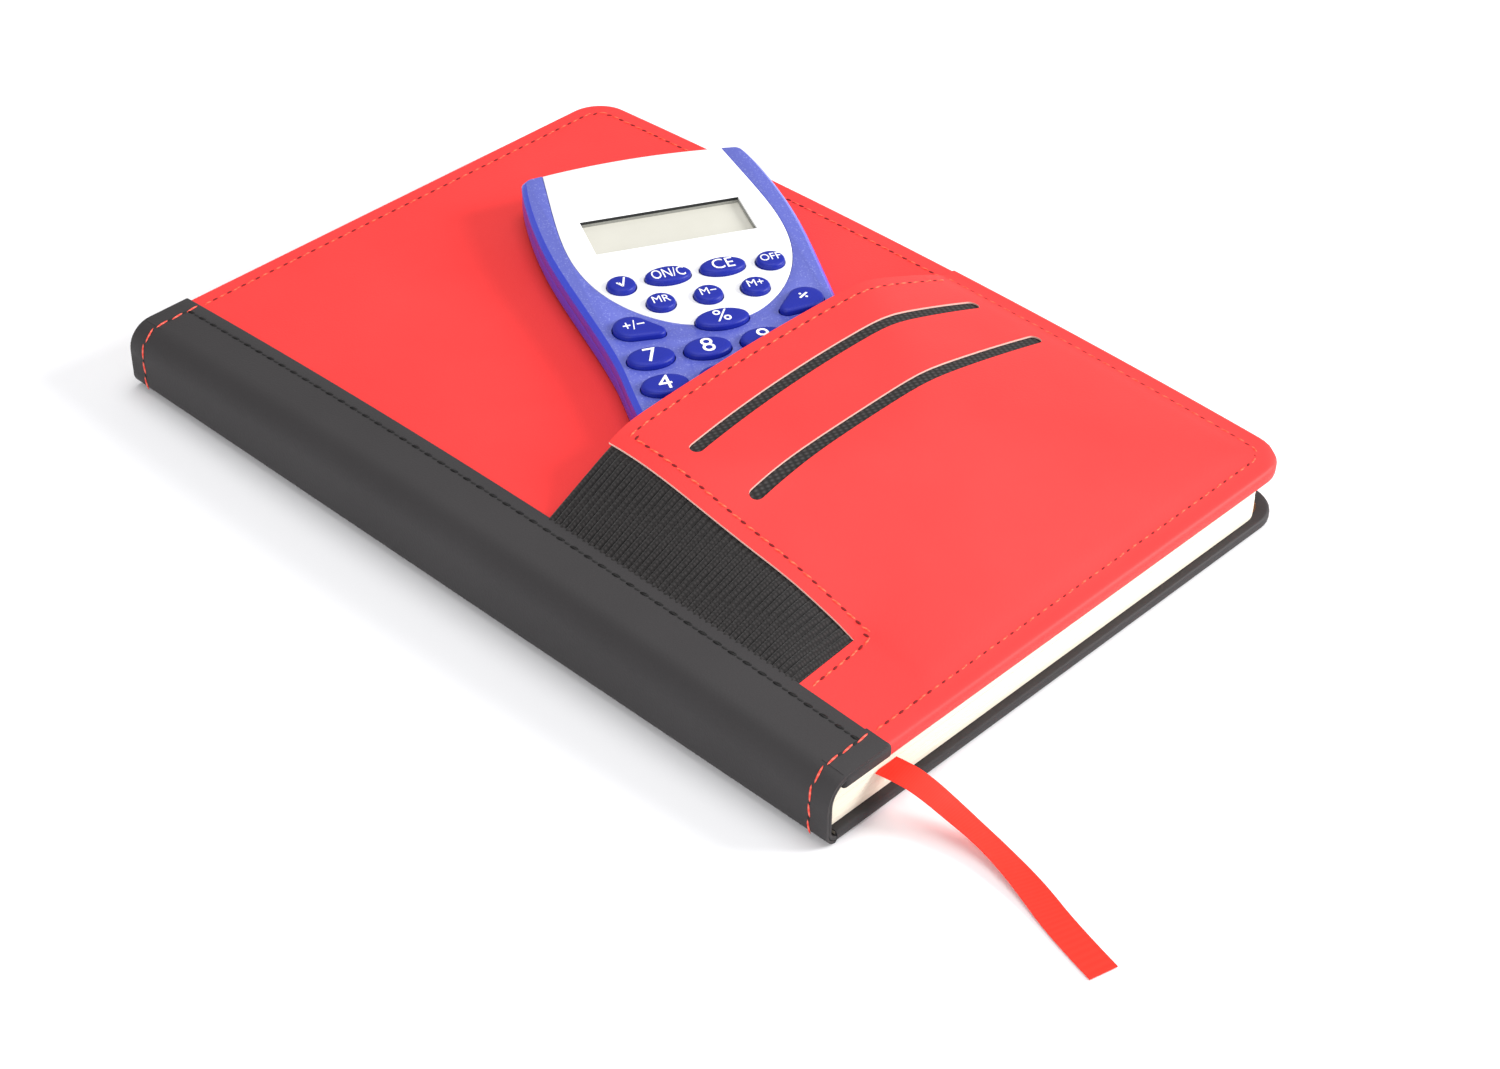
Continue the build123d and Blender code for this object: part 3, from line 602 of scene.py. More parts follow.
def twill_cloth(name):
    """Polyester twill: slanting cords, drawn 1.4 mm apart so that they show, lighter on top with
    painted shade between them.
    """
    material, tree, shader = new_material(name, Roughness=0.8, Specular_IOR_Level=0.2)
    place = add_node(tree, "TexCoord").outputs["Object"]
    turned = add_node(tree, "Mapping", {"Vector": place, "Rotation": (0, 0, math.radians(20))})
    cords = add_node(tree, "TexWave", {"Vector": turned.outputs[0],
                                       "Scale": stripe_scale(1.3818), "Distortion": 0.4,
                                       "Detail": 1}, bands_direction="X")
    weft = add_node(tree, "TexWave", {"Vector": turned.outputs[0], "Scale": stripe_scale(0.987)},
                    bands_direction="Y")
    # Lighter where cords and weft crest, darker between them: painted shade in the grooves.
    weave_shade = add_node(tree, "Math", {0: cords.outputs[1], 1: weft.outputs[1]}, operation="MULTIPLY")
    dress(tree, shader, weave_shade.outputs[0], "#262525", "#454343", cords.outputs[1], 0.12)
    return material


def uncoated_paper(name, dark, light, leaf_mm=0.12, along_mm=50.0):
    """Uncoated paper and board.

    In a cut block the leaves' edges show as fine broken lines. A single sheet has a fine,
    even mottle of fibres instead.
    """
    material, tree, shader = new_material(name, Roughness=0.9, Specular_IOR_Level=0.25)
    place = add_node(tree, "TexCoord").outputs["Object"]
    layers = add_node(tree, "Mapping", {"Vector": place, "Scale": (1000 / along_mm, 1000 / along_mm,
                                                             1000 / leaf_mm)})
    leaves = add_node(tree, "TexNoise", {"Vector": layers.outputs[0], "Scale": 1.0, "Detail": 1})
    dress(tree, shader, leaves.outputs[0], dark, light, leaves.outputs[0], 0.04)
    return material


def pearl_plastic(name, face, edge, fleck):
    """Pearl-filled ABS, moulded: mica flecks painted lighter as glints, and a lighter lavender
    where the surface faces the eye, a painted sheen, going to deeper blue at a glance.
    """
    material, tree, shader = new_material(name, Roughness=0.38, IOR=1.5, Metallic=0.15,
                                          Coat_Weight=0.2, Coat_Roughness=0.2)
    place = add_node(tree, "TexCoord").outputs["Object"]
    flakes = add_node(tree, "TexVoronoi", {"Vector": place, "Scale": 1000 / 0.28})
    # The lightest flakes are painted lighter: painted glints of light on the mica.
    bright = add_node(tree, "MapRange", {0: flakes.outputs[1], 1: 0.72, 2: 1.0, 3: 0.0, 4: 0.4})
    # Lighter lavender where the surface faces the eye, deeper blue at grazing: a painted sheen.
    view = add_node(tree, "LayerWeight", {"Blend": 0.28})
    dress(tree, shader, view.outputs["Facing"], face, edge, flakes.outputs[0], 0.01)
    body = shader.inputs["Base Color"].links[0].from_socket
    fleck_glint_mix = add_node(tree, "Mix", {"Factor": bright.outputs[0], 6: body, 7: linear(fleck)},
                       data_type="RGBA")
    tree.links.new(fleck_glint_mix.outputs[2], shader.inputs["Base Color"])
    return material


def moulded_plastic(name, dark, light, roughness, texture_mm=0.5, depth=0.008, **more):
    """Injection-moulded plastic or rubber: even colour, with the tool's faint spark texture."""
    material, tree, shader = new_material(name, Roughness=roughness, **more)
    place = add_node(tree, "TexCoord").outputs["Object"]
    spark = add_node(tree, "TexNoise", {"Vector": place, "Scale": 1000 / texture_mm, "Detail": 2})
    dress(tree, shader, spark.outputs[0], dark, light, spark.outputs[0], depth)
    return material


def satin_ribbon(name):
    """Woven polyester satin: even colour, with fine cords across its length."""
    material, tree, shader = new_material(name, Roughness=0.5, Specular_IOR_Level=0.25)
    line = add_node(tree, "TexCoord").outputs["UV"]
    weft = add_node(tree, "TexWave", {"Vector": line, "Scale": ribbon_cords * math.tau / 20},
                    bands_direction="Y")
    dress(tree, shader, weft.outputs[1], "#EF2B1B", "#F23020", weft.outputs[1], 0.005)
    return material


def brushed_steel(name):
    """Nickel-plated steel, lightly brushed: bright, with fine lines along one way."""
    material, tree, shader = new_material(name, Metallic=1.0, Roughness=0.3)
    place = add_node(tree, "TexCoord").outputs["Object"]
    stretched = add_node(tree, "Mapping", {"Vector": place, "Scale": (1000 / 0.1, 1000 / 4, 1000)})
    lines = add_node(tree, "TexNoise", {"Vector": stretched.outputs[0], "Scale": 1.0})
    dress(tree, shader, lines.outputs[0], "#B9B9BC", "#DADADC", lines.outputs[0], 0.01)
    return material


red_leather = coated_leather("coral_pu_leather", "#F13635", "#F63F3D", 0.55)
black_leather = coated_leather("charcoal_pu_leather", "#333132", "#3A3839", 0.58, 0.5, 0.025)
cut_edge = moulded_plastic("leather_backing_edge", "#F2B9AB", "#F8CFC4", 0.8)
# The needle holes are beads darker than the leather: painted shade in the holes.
hole_shade_on_red = moulded_plastic("painted_hole_shade_on_red", "#6E0C0A", "#861210", 0.9)
hole_shade_on_black = moulded_plastic("painted_hole_shade_on_black", "#1C1B1B", "#222121", 0.9)
coral_thread = twisted_thread("coral_thread", "#EA4630", "#F8684E")
salmon_thread = twisted_thread("salmon_thread", "#EA4E36", "#F67254")
black_thread = twisted_thread("black_thread", "#090808", "#181717")
red_thread = twisted_thread("red_thread", "#F0463A", "#FF7260")
webbing = knitted_webbing("elastic_webbing")
twill = twill_cloth("charcoal_twill")
page_paper = uncoated_paper("cream_page_edges", "#E0D6C2", "#ECE5D6")
end_paper = uncoated_paper("kraft_endpaper", "#C48755", "#CD9261", 0.8, 0.8)
grey_board = uncoated_paper("grey_board", "#8F877C", "#A79F93", 0.3, 1.5)
gauze = uncoated_paper("binding_gauze", "#D8D2C2", "#EFEADD", 0.9, 0.9)
foam = moulded_plastic("eva_foam", "#D9D5C8", "#E8E4D8", 0.9, 0.4, 0.05)
# The lavender face colour holds a painted sheen, and the fleck colour painted glints.
pearl = pearl_plastic("pearl_abs_painted_sheen", "#6A72C2", "#3442BC", "#B4BBF0")
side_blue = moulded_plastic("blue_abs", "#2438C6", "#2E44D2", 0.32, Coat_Weight=0.2)
white_abs = moulded_plastic("white_abs", "#F6F6F8", "#FDFDFE", 0.35)
key_rubber = moulded_plastic("blue_key_rubber", "#0E1D8E", "#14259A", 0.45, 0.3, 0.012,
                             Specular_IOR_Level=0.3)
print_white = moulded_plastic("white_pad_print", "#F4F4F8", "#FFFFFF", 0.5)
frame_black = moulded_plastic("black_frame_print", "#101214", "#1B1E22", 0.4)
display_glass = moulded_plastic("grey_liquid_crystal", "#CAC8BD", "#D0CEC4", 0.22, 6.0, 0.0)
# The grey of the band round the display glass is painted shadow of the recess on the liquid
# crystal.
recess_shadow_grey = moulded_plastic("painted_recess_shadow", "#8E8E88", "#9A9A94", 0.3)
silicone = moulded_plastic("grey_silicone", "#8D8D8D", "#9B9B9B", 0.6)
solder_mask = moulded_plastic("green_solder_mask", "#14532C", "#1B6638", 0.35)
plated_steel = brushed_steel("plated_steel")
ribbon_satin = satin_ribbon("ribbon_satin")


# ---- Ribbon ----
def make_ribbon():
    """A flat satin band along a smooth line: level at both ends, tipped a little in the middle."""
    data = bpy.data.curves.new("ribbon_line", "CURVE")
    data.dimensions = "3D"
    spline = data.splines.new("NURBS")
    spline.points.add(len(RIBBON_ROUTE) - 1)
    for point, place in zip(spline.points, RIBBON_ROUTE):
        point.co = (*(value * MM for value in place), 1)
    spline.order_u = 3
    spline.use_endpoint_u = True
    spline.resolution_u = 12
    line = bpy.data.objects.new("ribbon_line", data)
    bpy.context.scene.collection.objects.link(line)
    bpy.context.view_layer.update()
    graph = bpy.context.evaluated_depsgraph_get()
    traced = bpy.data.meshes.new_from_object(line.evaluated_get(graph))
    path = [corner.co.copy() for corner in traced.vertices]
    bpy.data.objects.remove(line)
    length = sum((b - a).length for a, b in zip(path, path[1:]))
    rows, columns = len(path), 9
    deselect()
    bpy.ops.mesh.primitive_grid_add(x_subdivisions=columns - 1, y_subdivisions=rows - 1, size=1)
    piece = named("bookmark_ribbon_satin")
    travelled = 0.0
    for row in range(rows):
        before, after = path[max(row - 1, 0)], path[min(row + 1, rows - 1)]
        heading = (after - before).normalized()
        travelled += (path[row] - path[max(row - 1, 0)]).length
        share = travelled / length
        across = heading.cross(Vector((0, 0, 1))).normalized()
        tipping = math.exp(-((share - ribbon_tip_share) / ribbon_tip_spread) ** 2)
        roll = math.radians(ribbon_tip) * tipping
        across = Matrix.Rotation(roll, 3, heading) @ across
        lift = abs(across.z) * ribbon_width / 2 * MM + ribbon_lift * MM
        for column in range(columns):
            offset = (column / (columns - 1) - 0.5) * ribbon_width * MM
            corner = piece.data.vertices[row * columns + column]
            tuck = heading * ribbon_tuck * MM if row == 0 else Vector()
            corner.co = (path[row] - tuck + across * offset + Vector((0, 0, lift))) / MM
    piece.data.update()
    face_out(piece)
    modify(piece, "SOLIDIFY", thickness=ribbon_thickness, offset=0)
    finish_piece(piece, "notebook", ribbon_satin, ["bookmark_ribbon"])


make_ribbon()


# ---- Covers ----
def make_red_cover():
    """Red leather over the padded board, round its open edges and turned in underneath."""
    low = (seam_x, -half_height, board_bottom - turn_in_depth * 2)
    piece = box_piece("front_cover_leather", low, (fore_x, half_height, cover_top))
    edit(piece)
    pick(piece, lambda at, way, rim: at.x > fore_x - 1 and abs(way.z) > 0.9, "EDGE")
    bpy.ops.mesh.bevel(offset=corner_radius, segments=12, affect="EDGES")
    pick(piece, lambda at, way, rim: at.z > cover_top - 0.01 and at.x > seam_x + 0.01, "EDGE")
    bpy.ops.mesh.bevel(offset=cover_edge_round, segments=5, affect="EDGES")
    pick(piece, lambda at, way, rim: at.z < low[2] + 0.01 and at.x > seam_x + 0.01, "EDGE")
    bpy.ops.mesh.bevel(offset=0.5, segments=3, affect="EDGES")
    pick(piece, lambda at, normal: normal.x < -0.9)
    bpy.ops.mesh.delete(type="FACE")
    pick(piece, lambda at, normal: normal.z < -0.999)
    bpy.ops.mesh.inset(thickness=turn_in, use_boundary=False)
    bpy.ops.mesh.delete(type="FACE")
    leave()
    bisect_all(piece, steps(-half_height, half_height, 40), (0, 1, 0))
    drape(piece, lambda x, y: arch_at(y))
    modify(piece, "SOLIDIFY", thickness=leather, offset=-1)
    finish_piece(piece, "front_cover", red_leather, ["front_cover_skin"])


def spine_profile():
    """The black leather's outer line: from the seam over the spine to the underside."""
    top = cover_top + strip_lift
    line = [(seam_x + 0.55, top - 0.55), (seam_x + 0.42, top - 0.2), (seam_x + 0.1, top)]
    line += [(x, top) for x in steps(seam_x, spine_x + spine_top_round, 4)]
    centre = (spine_x + spine_top_round, top - spine_top_round)
    line += arc(centre, spine_top_round, 90, 180, 10)
    line += [(spine_x, z) for z in steps(centre[1], spine_low_round, 5)]
    line += arc((spine_x + spine_low_round, spine_low_round), spine_low_round, 180, 270, 8)
    return line


def spine_share(z):
    """How much of the cover's bow a point on the spine's wall takes."""
    return min(max((z - spine_low_round) / (cover_top - spine_top_round - spine_low_round), 0), 1)


def extrude_profile(name, line, y0, y1):
    """A sheet drawn from its first two profile points and extruded along the rest."""
    deselect()
    bpy.ops.mesh.primitive_plane_add(size=1)
    piece = named(name)
    corners = [(line[0], y0), (line[1], y0), (line[0], y1), (line[1], y1)]
    for corner, ((x, z), y) in zip(piece.data.vertices, corners):
        corner.co = (x, y, z)
    edit(piece)
    middle = Vector((line[1][0], (y0 + y1) / 2, line[1][1]))
    pick(piece, lambda at, way, rim: (at - middle).length < 0.01, "EDGE")
    for before, here in zip(line[1:], line[2:]):
        extrude((here[0] - before[0], 0, here[1] - before[1]))
    leave()
    return piece


def turn_outwards(piece, inside):
    """Turns an open sheet's faces away from a point inside it."""
    face_out(piece)
    facing = sum(face.normal.dot(face.center - Vector(inside)) * face.area
                 for face in piece.data.polygons)
    if facing < 0:
        piece.data.flip_normals()


def make_black_leather():
    """One leather: strip over the front board, spine, and the back cover with its turned rim."""
    line = spine_profile() + [(fore_x, 0.0)]
    piece = extrude_profile("spine_and_back_leather", line, -half_height, half_height)
    edit(piece)
    pick(piece, lambda at: at.x > fore_x - 0.01, "VERT")
    bpy.ops.mesh.bevel(offset=corner_radius, segments=10, affect="VERTICES")
    start_x = spine_x + spine_low_round
    pick(piece, lambda at, way, rim: rim and at.z < 0.001 and at.x > start_x + 0.01, "EDGE")
    extrude((0, 0, back_top + turn_in_depth))
    extrude((0, 0, 0))
    middle = (start_x, 0, 0)
    bpy.ops.transform.resize(value=((fore_x - turn_in - start_x) / (fore_x - start_x),
                                    (half_height - turn_in) / half_height, 1),
                             center_override=middle)
    leave()
    turn_outwards(piece, (0, 0, 5))
    edit(piece)
    rim_top = back_top + turn_in_depth

    def sharp_rim(at, way, rim):
        on_rim = at.x > start_x + 0.5 and (at.z < 0.01 or at.z > rim_top - 0.01)
        near_edge = at.x > fore_x - corner_radius or abs(at.y) > half_height - 0.01
        outside = abs(at.y) > half_height - 0.01 or at.x > fore_x - 0.01
        corner = math.hypot(at.x - fore_x + corner_radius, abs(at.y) - half_height + corner_radius)
        in_corner = (at.x > fore_x - corner_radius and abs(at.y) > half_height - corner_radius
                     and corner > corner_radius - 0.2)
        return on_rim and near_edge and (outside or in_corner) and abs(way.z) < 0.1

    pick(piece, sharp_rim, "EDGE")
    bpy.ops.mesh.bevel(offset=back_edge_round, segments=4, affect="EDGES")
    leave()
    bisect_all(piece, steps(-half_height, half_height, 44), (0, 1, 0))
    drape_spine(piece)
    modify(piece, "SOLIDIFY", thickness=leather, offset=-1)
    soften(piece, 0.18, angle=1.2)
    stands_for = ["spine_front_strip", "spine_panel", "back_cover_skin"]
    finish_piece(piece, spine_flex, black_leather, stands_for)


def drape_spine(piece):
    for corner in piece.data.vertices:
        corner.co.z += arch_at(corner.co.y) * spine_share(corner.co.z)
    piece.data.update()


def make_spine_hems():
    """The leather's ends turned in: a second layer inside the spine's head and tail."""
    for side in (-1, 1):
        inset = []
        for x, z in spine_profile()[3:]:
            centre_z = min(max(z, spine_low_round), cover_top + strip_lift - spine_top_round)
            round_here = spine_top_round if z > centre_z else spine_low_round
            centre = Vector((spine_x + round_here, centre_z))
            if abs(x - spine_x) < 0.01:
                away = Vector((-1, 0))
            elif x > centre.x:
                away = Vector((0, 1))
            else:
                away = (Vector((x, z)) - centre).normalized()
            inset.append((x - away.x * leather, z - away.y * leather))
        y0, y1 = sorted((side * half_height, side * (half_height - hem_depth)))
        piece = extrude_profile("spine_hem_tail" if side < 0 else "spine_hem_head", inset, y0, y1)
        turn_outwards(piece, (0, 0, 5))
        bisect_all(piece, [side * (half_height - hem_depth / 2)], (0, 1, 0))
        drape_spine(piece)
        modify(piece, "SOLIDIFY", thickness=hem_layer, offset=-1)
        soften(piece, hem_lip_round, 3, 1.2)
        finish_piece(piece, spine_flex, black_leather, ())


def make_board_end_wraps():
    """Black leather turned over the front board's ends beside the spine, with its folded tab."""
    for side in (-1, 1):
        end_y, inner_y = side * (half_height + wrap_proud), side * (half_height - wrap_depth)
        low_y, high_y = sorted((end_y, inner_y))
        name = "board_wrap_tail" if side < 0 else "board_wrap_head"
        end_x = seam_x + (wrap_reach_tail if side < 0 else wrap_reach_head)
        low = (spine_x + wrap_start, low_y, board_bottom - wrap_drop)
        piece = box_piece(name, low, (end_x, high_y, cover_top + strip_lift - 0.06))
        edit(piece)
        pick(piece, lambda at, way, rim: abs(at.y) > half_height or at.x > end_x - 0.1, "EDGE")
        bpy.ops.mesh.bevel(offset=wrap_round, segments=6, affect="EDGES")
        leave()
        drape(piece, lambda x, y: arch_at(y))
        finish_piece(piece, "front_cover", black_leather, ())


make_red_cover()
make_black_leather()
make_spine_hems()
make_board_end_wraps()


# ---- Leaves ----
def page_block(name, low, high, leaves, bow, folds, body, node):
    """A trimmed block of leaves: uneven leaf edges outside, folded sections at the spine."""
    piece = box_piece(name, (low.x, low.y, 0), (high.x, high.y, 1))
    edit(piece)
    pick(piece, lambda at, way, rim: at.x > high.x - 1 and abs(way.z) > 0.9, "EDGE")
    bpy.ops.mesh.bevel(offset=page_corner_radius, segments=8, affect="EDGES")
    leave()
    bisect_all(piece, steps(0, 1, leaves), (0, 0, 1))
    bisect_all(piece, steps(low.y, high.y, 24), (0, 1, 0))
    chance = random.Random(name)
    shift = [chance.uniform(0, leaf_unevenness) for leaf in range(leaves + 1)]
    bottom = low.z - (page_swell if bow else 0)
    thickness = high.z - bottom - bow + (0 if bow else page_swell)
    for corner in piece.data.vertices:
        share = corner.co.z
        level = round(share * leaves)
        inset = shift[level] if 0 < level < leaves else leaf_unevenness / 2
        fold = section_fold * abs(math.cos(math.pi * share * folds)) ** 3
        if corner.co.x < low.x + 0.01:
            corner.co.x += fold
        elif corner.co.x > high.x - 6:
            corner.co.x -= inset
        if abs(corner.co.y) > high.y - 6:
            corner.co.y -= math.copysign(inset, corner.co.y)
        corner.co.z = bottom + share * (thickness + arch_at(corner.co.y, bow) if bow else thickness)
    piece.data.update()
    face_out(piece)
    finish_piece(piece, body, page_paper, [node], smooth=20)


def make_gutter_leaf():
    """The leaf glued across the gutter, which opens with the front block."""
    x = back_low.x + 0.25
    over = back_high.z + 0.05
    under = front_low.z - page_swell
    line = [(x + gutter_reach, over), (x + gutter_reach / 2, over), (x + 0.4, over)]
    line += [(x, z) for z in (back_high.z + 0.12, back_high.z + 0.2, back_high.z + 0.28)]
    line += [(x + 0.4, under - 0.1), (x + gutter_reach / 2, under - 0.06),
             (x + gutter_reach, under - 0.06)]
    piece = extrude_profile("gutter_leaf", line, back_low.y + 1, back_high.y - 1)
    turn_outwards(piece, (0, 0, back_high.z + 0.25))
    modify(piece, "SOLIDIFY", thickness=0.06, offset=0)
    start = (0, 0, (back_high.z + 0.06) * MM)
    end = (0, 0, (under - 0.1) * MM)
    finish_piece(piece, ("notebook", "front_leaves", start, end), page_paper, ())


page_block("back_leaves", back_low, back_high, 34, 0, 5, "notebook", "page_block_back")
page_block("front_leaves_block", front_low, front_high, 24, leaf_arch, 4, "front_leaves",
           "page_block_front")
make_gutter_leaf()


# ---- Pocket ----
def edge_distance(x, y):
    """How far a plan point is inside the cover's rounded outline."""
    dx = max(x - (fore_x - corner_radius), 0)
    dy = max(-(half_height - corner_radius) - y, 0)
    if dx > 0 and dy > 0:
        return corner_radius - math.hypot(dx, dy)
    return min(fore_x - x, y + half_height)


def panel_face(x, y):
    """The upper face of the pocket's leather, which rolls down over the cover's edges."""
    settled = min(seam_distance(x, y) / panel_settle, 1)
    depth = panel_leather + (panel_thickness - panel_leather) * settled
    near = min(max(edge_distance(x, y), 0), edge_roll)
    roll = edge_roll - math.sqrt(edge_roll ** 2 - (edge_roll - near) ** 2)
    return pocket_underside(x, y) + depth - roll


def make_pocket_panel():
    low, high = (seam_x - 3, -half_height - 1), (fore_x + 1, mouth_middle[1] + 3)
    piece = slab("pocket_leather", low, high, panel_leather, 1.6)
    rims = [0.08, 0.25, 0.5, 0.8, 1.1]
    bisect_all(piece, [fore_x - rim for rim in rims], (1, 0, 0))
    bisect_all(piece, [rim - half_height for rim in rims], (0, 1, 0))
    cut(piece, prism("panel_cutter", panel_outline(), -2, 3), "INTERSECT")
    for centres in SLOT_CENTRES:
        cut(piece, prism("slot_cutter", slot_outline(*centres), -2, 3), "DIFFERENCE")
    drape(piece, lambda x, y: panel_face(x, y) - panel_leather)
    piece.data.materials.append(red_leather)
    piece.data.materials.append(cut_edge)
    slots_left, slots_right = panel_left_high[0] + 6, fore_x - 6
    slots_low, slots_high = -half_height + 12, mouth_end_y - 6
    for face in piece.data.polygons:
        x, y, z = face.center
        in_slot = slots_left < x < slots_right and slots_low < y < slots_high
        left_edge = x < panel_left_low[0] + 4 and y > panel_left_low[1] - 0.5
        if abs(face.normal.z) < 0.35 and (in_slot or left_edge):
            face.material_index = 1
    finish_piece(piece, "front_cover", [], ["pocket_panel"], smooth=40)


def make_pocket_lining():
    piece = slab("slot_lining", lining_low[:2], lining_high[:2], twill_thickness, 2.4)
    drape(piece, lambda x, y: pocket_underside(x, y) - 0.02)
    finish_piece(piece, "front_cover", twill, ["pocket_lining"])


def make_gusset():
    """Ribbed elastic from the seam to the panel's left edge, tucked under both."""
    ribs = round((panel_left_high[1] - panel_left_low[1]) / rib_pitch)
    columns, rows = 16, ribs * 7
    deselect()
    bpy.ops.mesh.primitive_grid_add(x_subdivisions=columns, y_subdivisions=rows, size=1)
    piece = named("gusset_webbing")
    for corner in piece.data.vertices:
        u, v = corner.co.x + 0.5, corner.co.y + 0.5
        y = panel_left_low[1] - 0.9 + (panel_left_high[1] - panel_left_low[1] + 0.4) * v
        right = panel_left_low[0] + (panel_left_high[0] - panel_left_low[0]) * v + webbing_tuck
        x = seam_x - webbing_seam_tuck + (right - seam_x + webbing_seam_tuck) * u
        y -= 1.2 * (1 - u)
        rib = abs(math.sin(math.pi * ribs * v)) ** 0.7
        tuck = min((1 - u) * 10, v * ribs / 1.2, 1)
        lift = (rib_foot + rib_height * rib) * tuck - 0.08
        corner.co = (x, y, pocket_underside(x, max(y, panel_left_low[1])) + lift)
    piece.data.update()
    turn_outwards(piece, (-45, -45, 0))
    modify(piece, "SOLIDIFY", thickness=webbing_thickness, offset=-1)
    finish_piece(piece, "front_cover", webbing, ["elastic_gusset"], smooth=50)


make_pocket_panel()
make_pocket_lining()
make_gusset()


# ---- Stitches ----
def walk(points, pitch):
    """Evenly spaced places along a line of points, each with its heading."""
    lengths = [(Vector(b) - Vector(a)).length for a, b in zip(points, points[1:])]
    count = round(sum(lengths) / pitch)
    places = []
    for number in range(count):
        target = (number + 0.5) * sum(lengths) / count
        index = 0
        while index < len(lengths) - 1 and target > lengths[index]:
            target -= lengths[index]
            index += 1
        heading = (Vector(points[index + 1]) - Vector(points[index])).normalized()
        places.append((Vector(points[index]) + heading * target, heading))
    return places


def copies_at(name, model, matrices):
    """Copies one small shape to many places and joins the copies."""
    made = []
    for matrix in matrices:
        copy = model.copy()
        copy.data = model.data.copy()
        bpy.context.scene.collection.objects.link(copy)
        copy.matrix_world = matrix
        made.append(copy)
    deselect()
    for copy in made:
        copy.select_set(True)
    bpy.context.view_layer.objects.active = made[0]
    bpy.context.view_layer.update()
    bpy.ops.object.join()
    piece = named(name)
    bpy.ops.object.transform_apply(location=True, rotation=True, scale=True)
    return piece


def bead(name, size, rings=5):
    """A small rounded bar along X."""
    deselect()
    bpy.ops.mesh.primitive_uv_sphere_add(segments=8, ring_count=rings, radius=0.5, scale=size)
    piece = named(name)
    bpy.ops.object.transform_apply(location=True, rotation=True, scale=True)
    return piece


def seats(places):
    """A matrix for each stitch: X along the row, Z off the surface, a little slanted."""
    made = []
    slant = math.radians(stitch_slant)
    for point, heading, up in places:
        across = up.cross(heading).normalized()
        along = Matrix.Rotation(slant, 3, up) @ heading
        across = Matrix.Rotation(slant, 3, up) @ across
        turn = Matrix((along, across, up)).transposed()
        made.append(Matrix.Translation(point) @ turn.to_4x4())
    return made


def stitch_row(name, places, materials, body, stands_for, length=stitch_length,
               width=stitch_width):
    """Threads laid end to end, with a dark bead between one thread and the next: painted shade of
    the needle hole.
    """
    thread_material, hole_shade_material = materials
    model = bead("stitch_model", (length, width, stitch_height))
    for corner in model.data.vertices:
        reach = abs(corner.co.x) / (length / 2)
        corner.co.z -= stitch_dip * reach ** 3
    threads = copies_at(name, model, seats(places))
    bpy.data.objects.remove(model)
    finish_piece(threads, body, thread_material, stands_for, smooth=60)
    # A dark bead in each gap between threads: painted shade of the needle hole.
    hole = bead("hole_shade_model", hole_shade_bead, rings=4)
    hole_shade_places = []
    for (point, heading, up), (after, _, after_up) in zip(places, places[1:]):
        if (after - point).length < 2 * stitch_pitch:
            middle = (point + after) / 2
            hole_shade_places.append((middle, heading, (up + after_up).normalized()))
    holes = copies_at(name + "_holes", hole, seats(hole_shade_places))
    bpy.data.objects.remove(hole)
    finish_piece(holes, body, hole_shade_material, (), smooth=60)


def on_surface(places, surface):
    """Plan places put on a surface, with its heading and its upward normal."""
    made = []
    for point, heading in places:
        x, y = point.x, point.y
        here = Vector((x, y, surface(x, y) + stitch_lift))
        ahead = Vector((x + heading.x * 0.5, y + heading.y * 0.5, 0))
        ahead.z = surface(ahead.x, ahead.y) + stitch_lift
        beside = Vector((x - heading.y * 0.5, y + heading.x * 0.5, 0))
        beside.z = surface(beside.x, beside.y) + stitch_lift
        along = (ahead - here).normalized()
        up = along.cross(beside - here).normalized()
        made.append((here, along, up))
    return made


def cover_or_panel(x, y):
    if y < mouth_end_y + 0.4:
        return panel_face(x, y)
    return cover_top + arch_at(y)


def make_stitches():
    inset = edge_stitch_inset
    turn = corner_radius - inset
    right, head = fore_x - inset, half_height - inset
    rim = [(seam_x + 0.6, head)] + arc((right - turn, head - turn), turn, 90, 0, 8)
    rim += arc((right - turn, turn - head), turn, 0, -90, 8) + [(seam_x + 0.6, -head)]
    stitch_row("edge_stitches", on_surface(walk(rim, stitch_pitch), cover_or_panel),
               (coral_thread, hole_shade_on_red), "front_cover", ["edge_stitching"])
    x = seam_x - seam_stitch_inset
    seam = walk([(x, half_height - 3.6), (x, -half_height + 3.6)], stitch_pitch)
    top = cover_top + strip_lift
    stitch_row("seam_stitches", on_surface(seam, lambda x, y: top + arch_at(y)),
               (black_thread, hole_shade_on_black), "front_cover", ["seam_stitching"],
               width=seam_thread_width)
    left = panel_left_high[0] + pocket_stitch_inset
    low = (panel_left_low[0] + pocket_stitch_inset, panel_left_low[1] - pocket_stitch_inset + 0.8)
    drop = pocket_stitch_inset
    mouth = [(px, py - drop) for px, py in mouth_points() if px > left and px < fore_seam_x - 1]
    line = mouth + [(left + 0.5, panel_left_high[1] - drop + 0.3), low]
    foot = walk([low, (seam_x + 0.8, low[1] - 1.2)], stitch_pitch)
    places = on_surface(walk(line, stitch_pitch) + foot, cover_or_panel)
    stitch_row("pocket_stitches", places, (salmon_thread, hole_shade_on_red), "front_cover",
               ["pocket_stitching"])


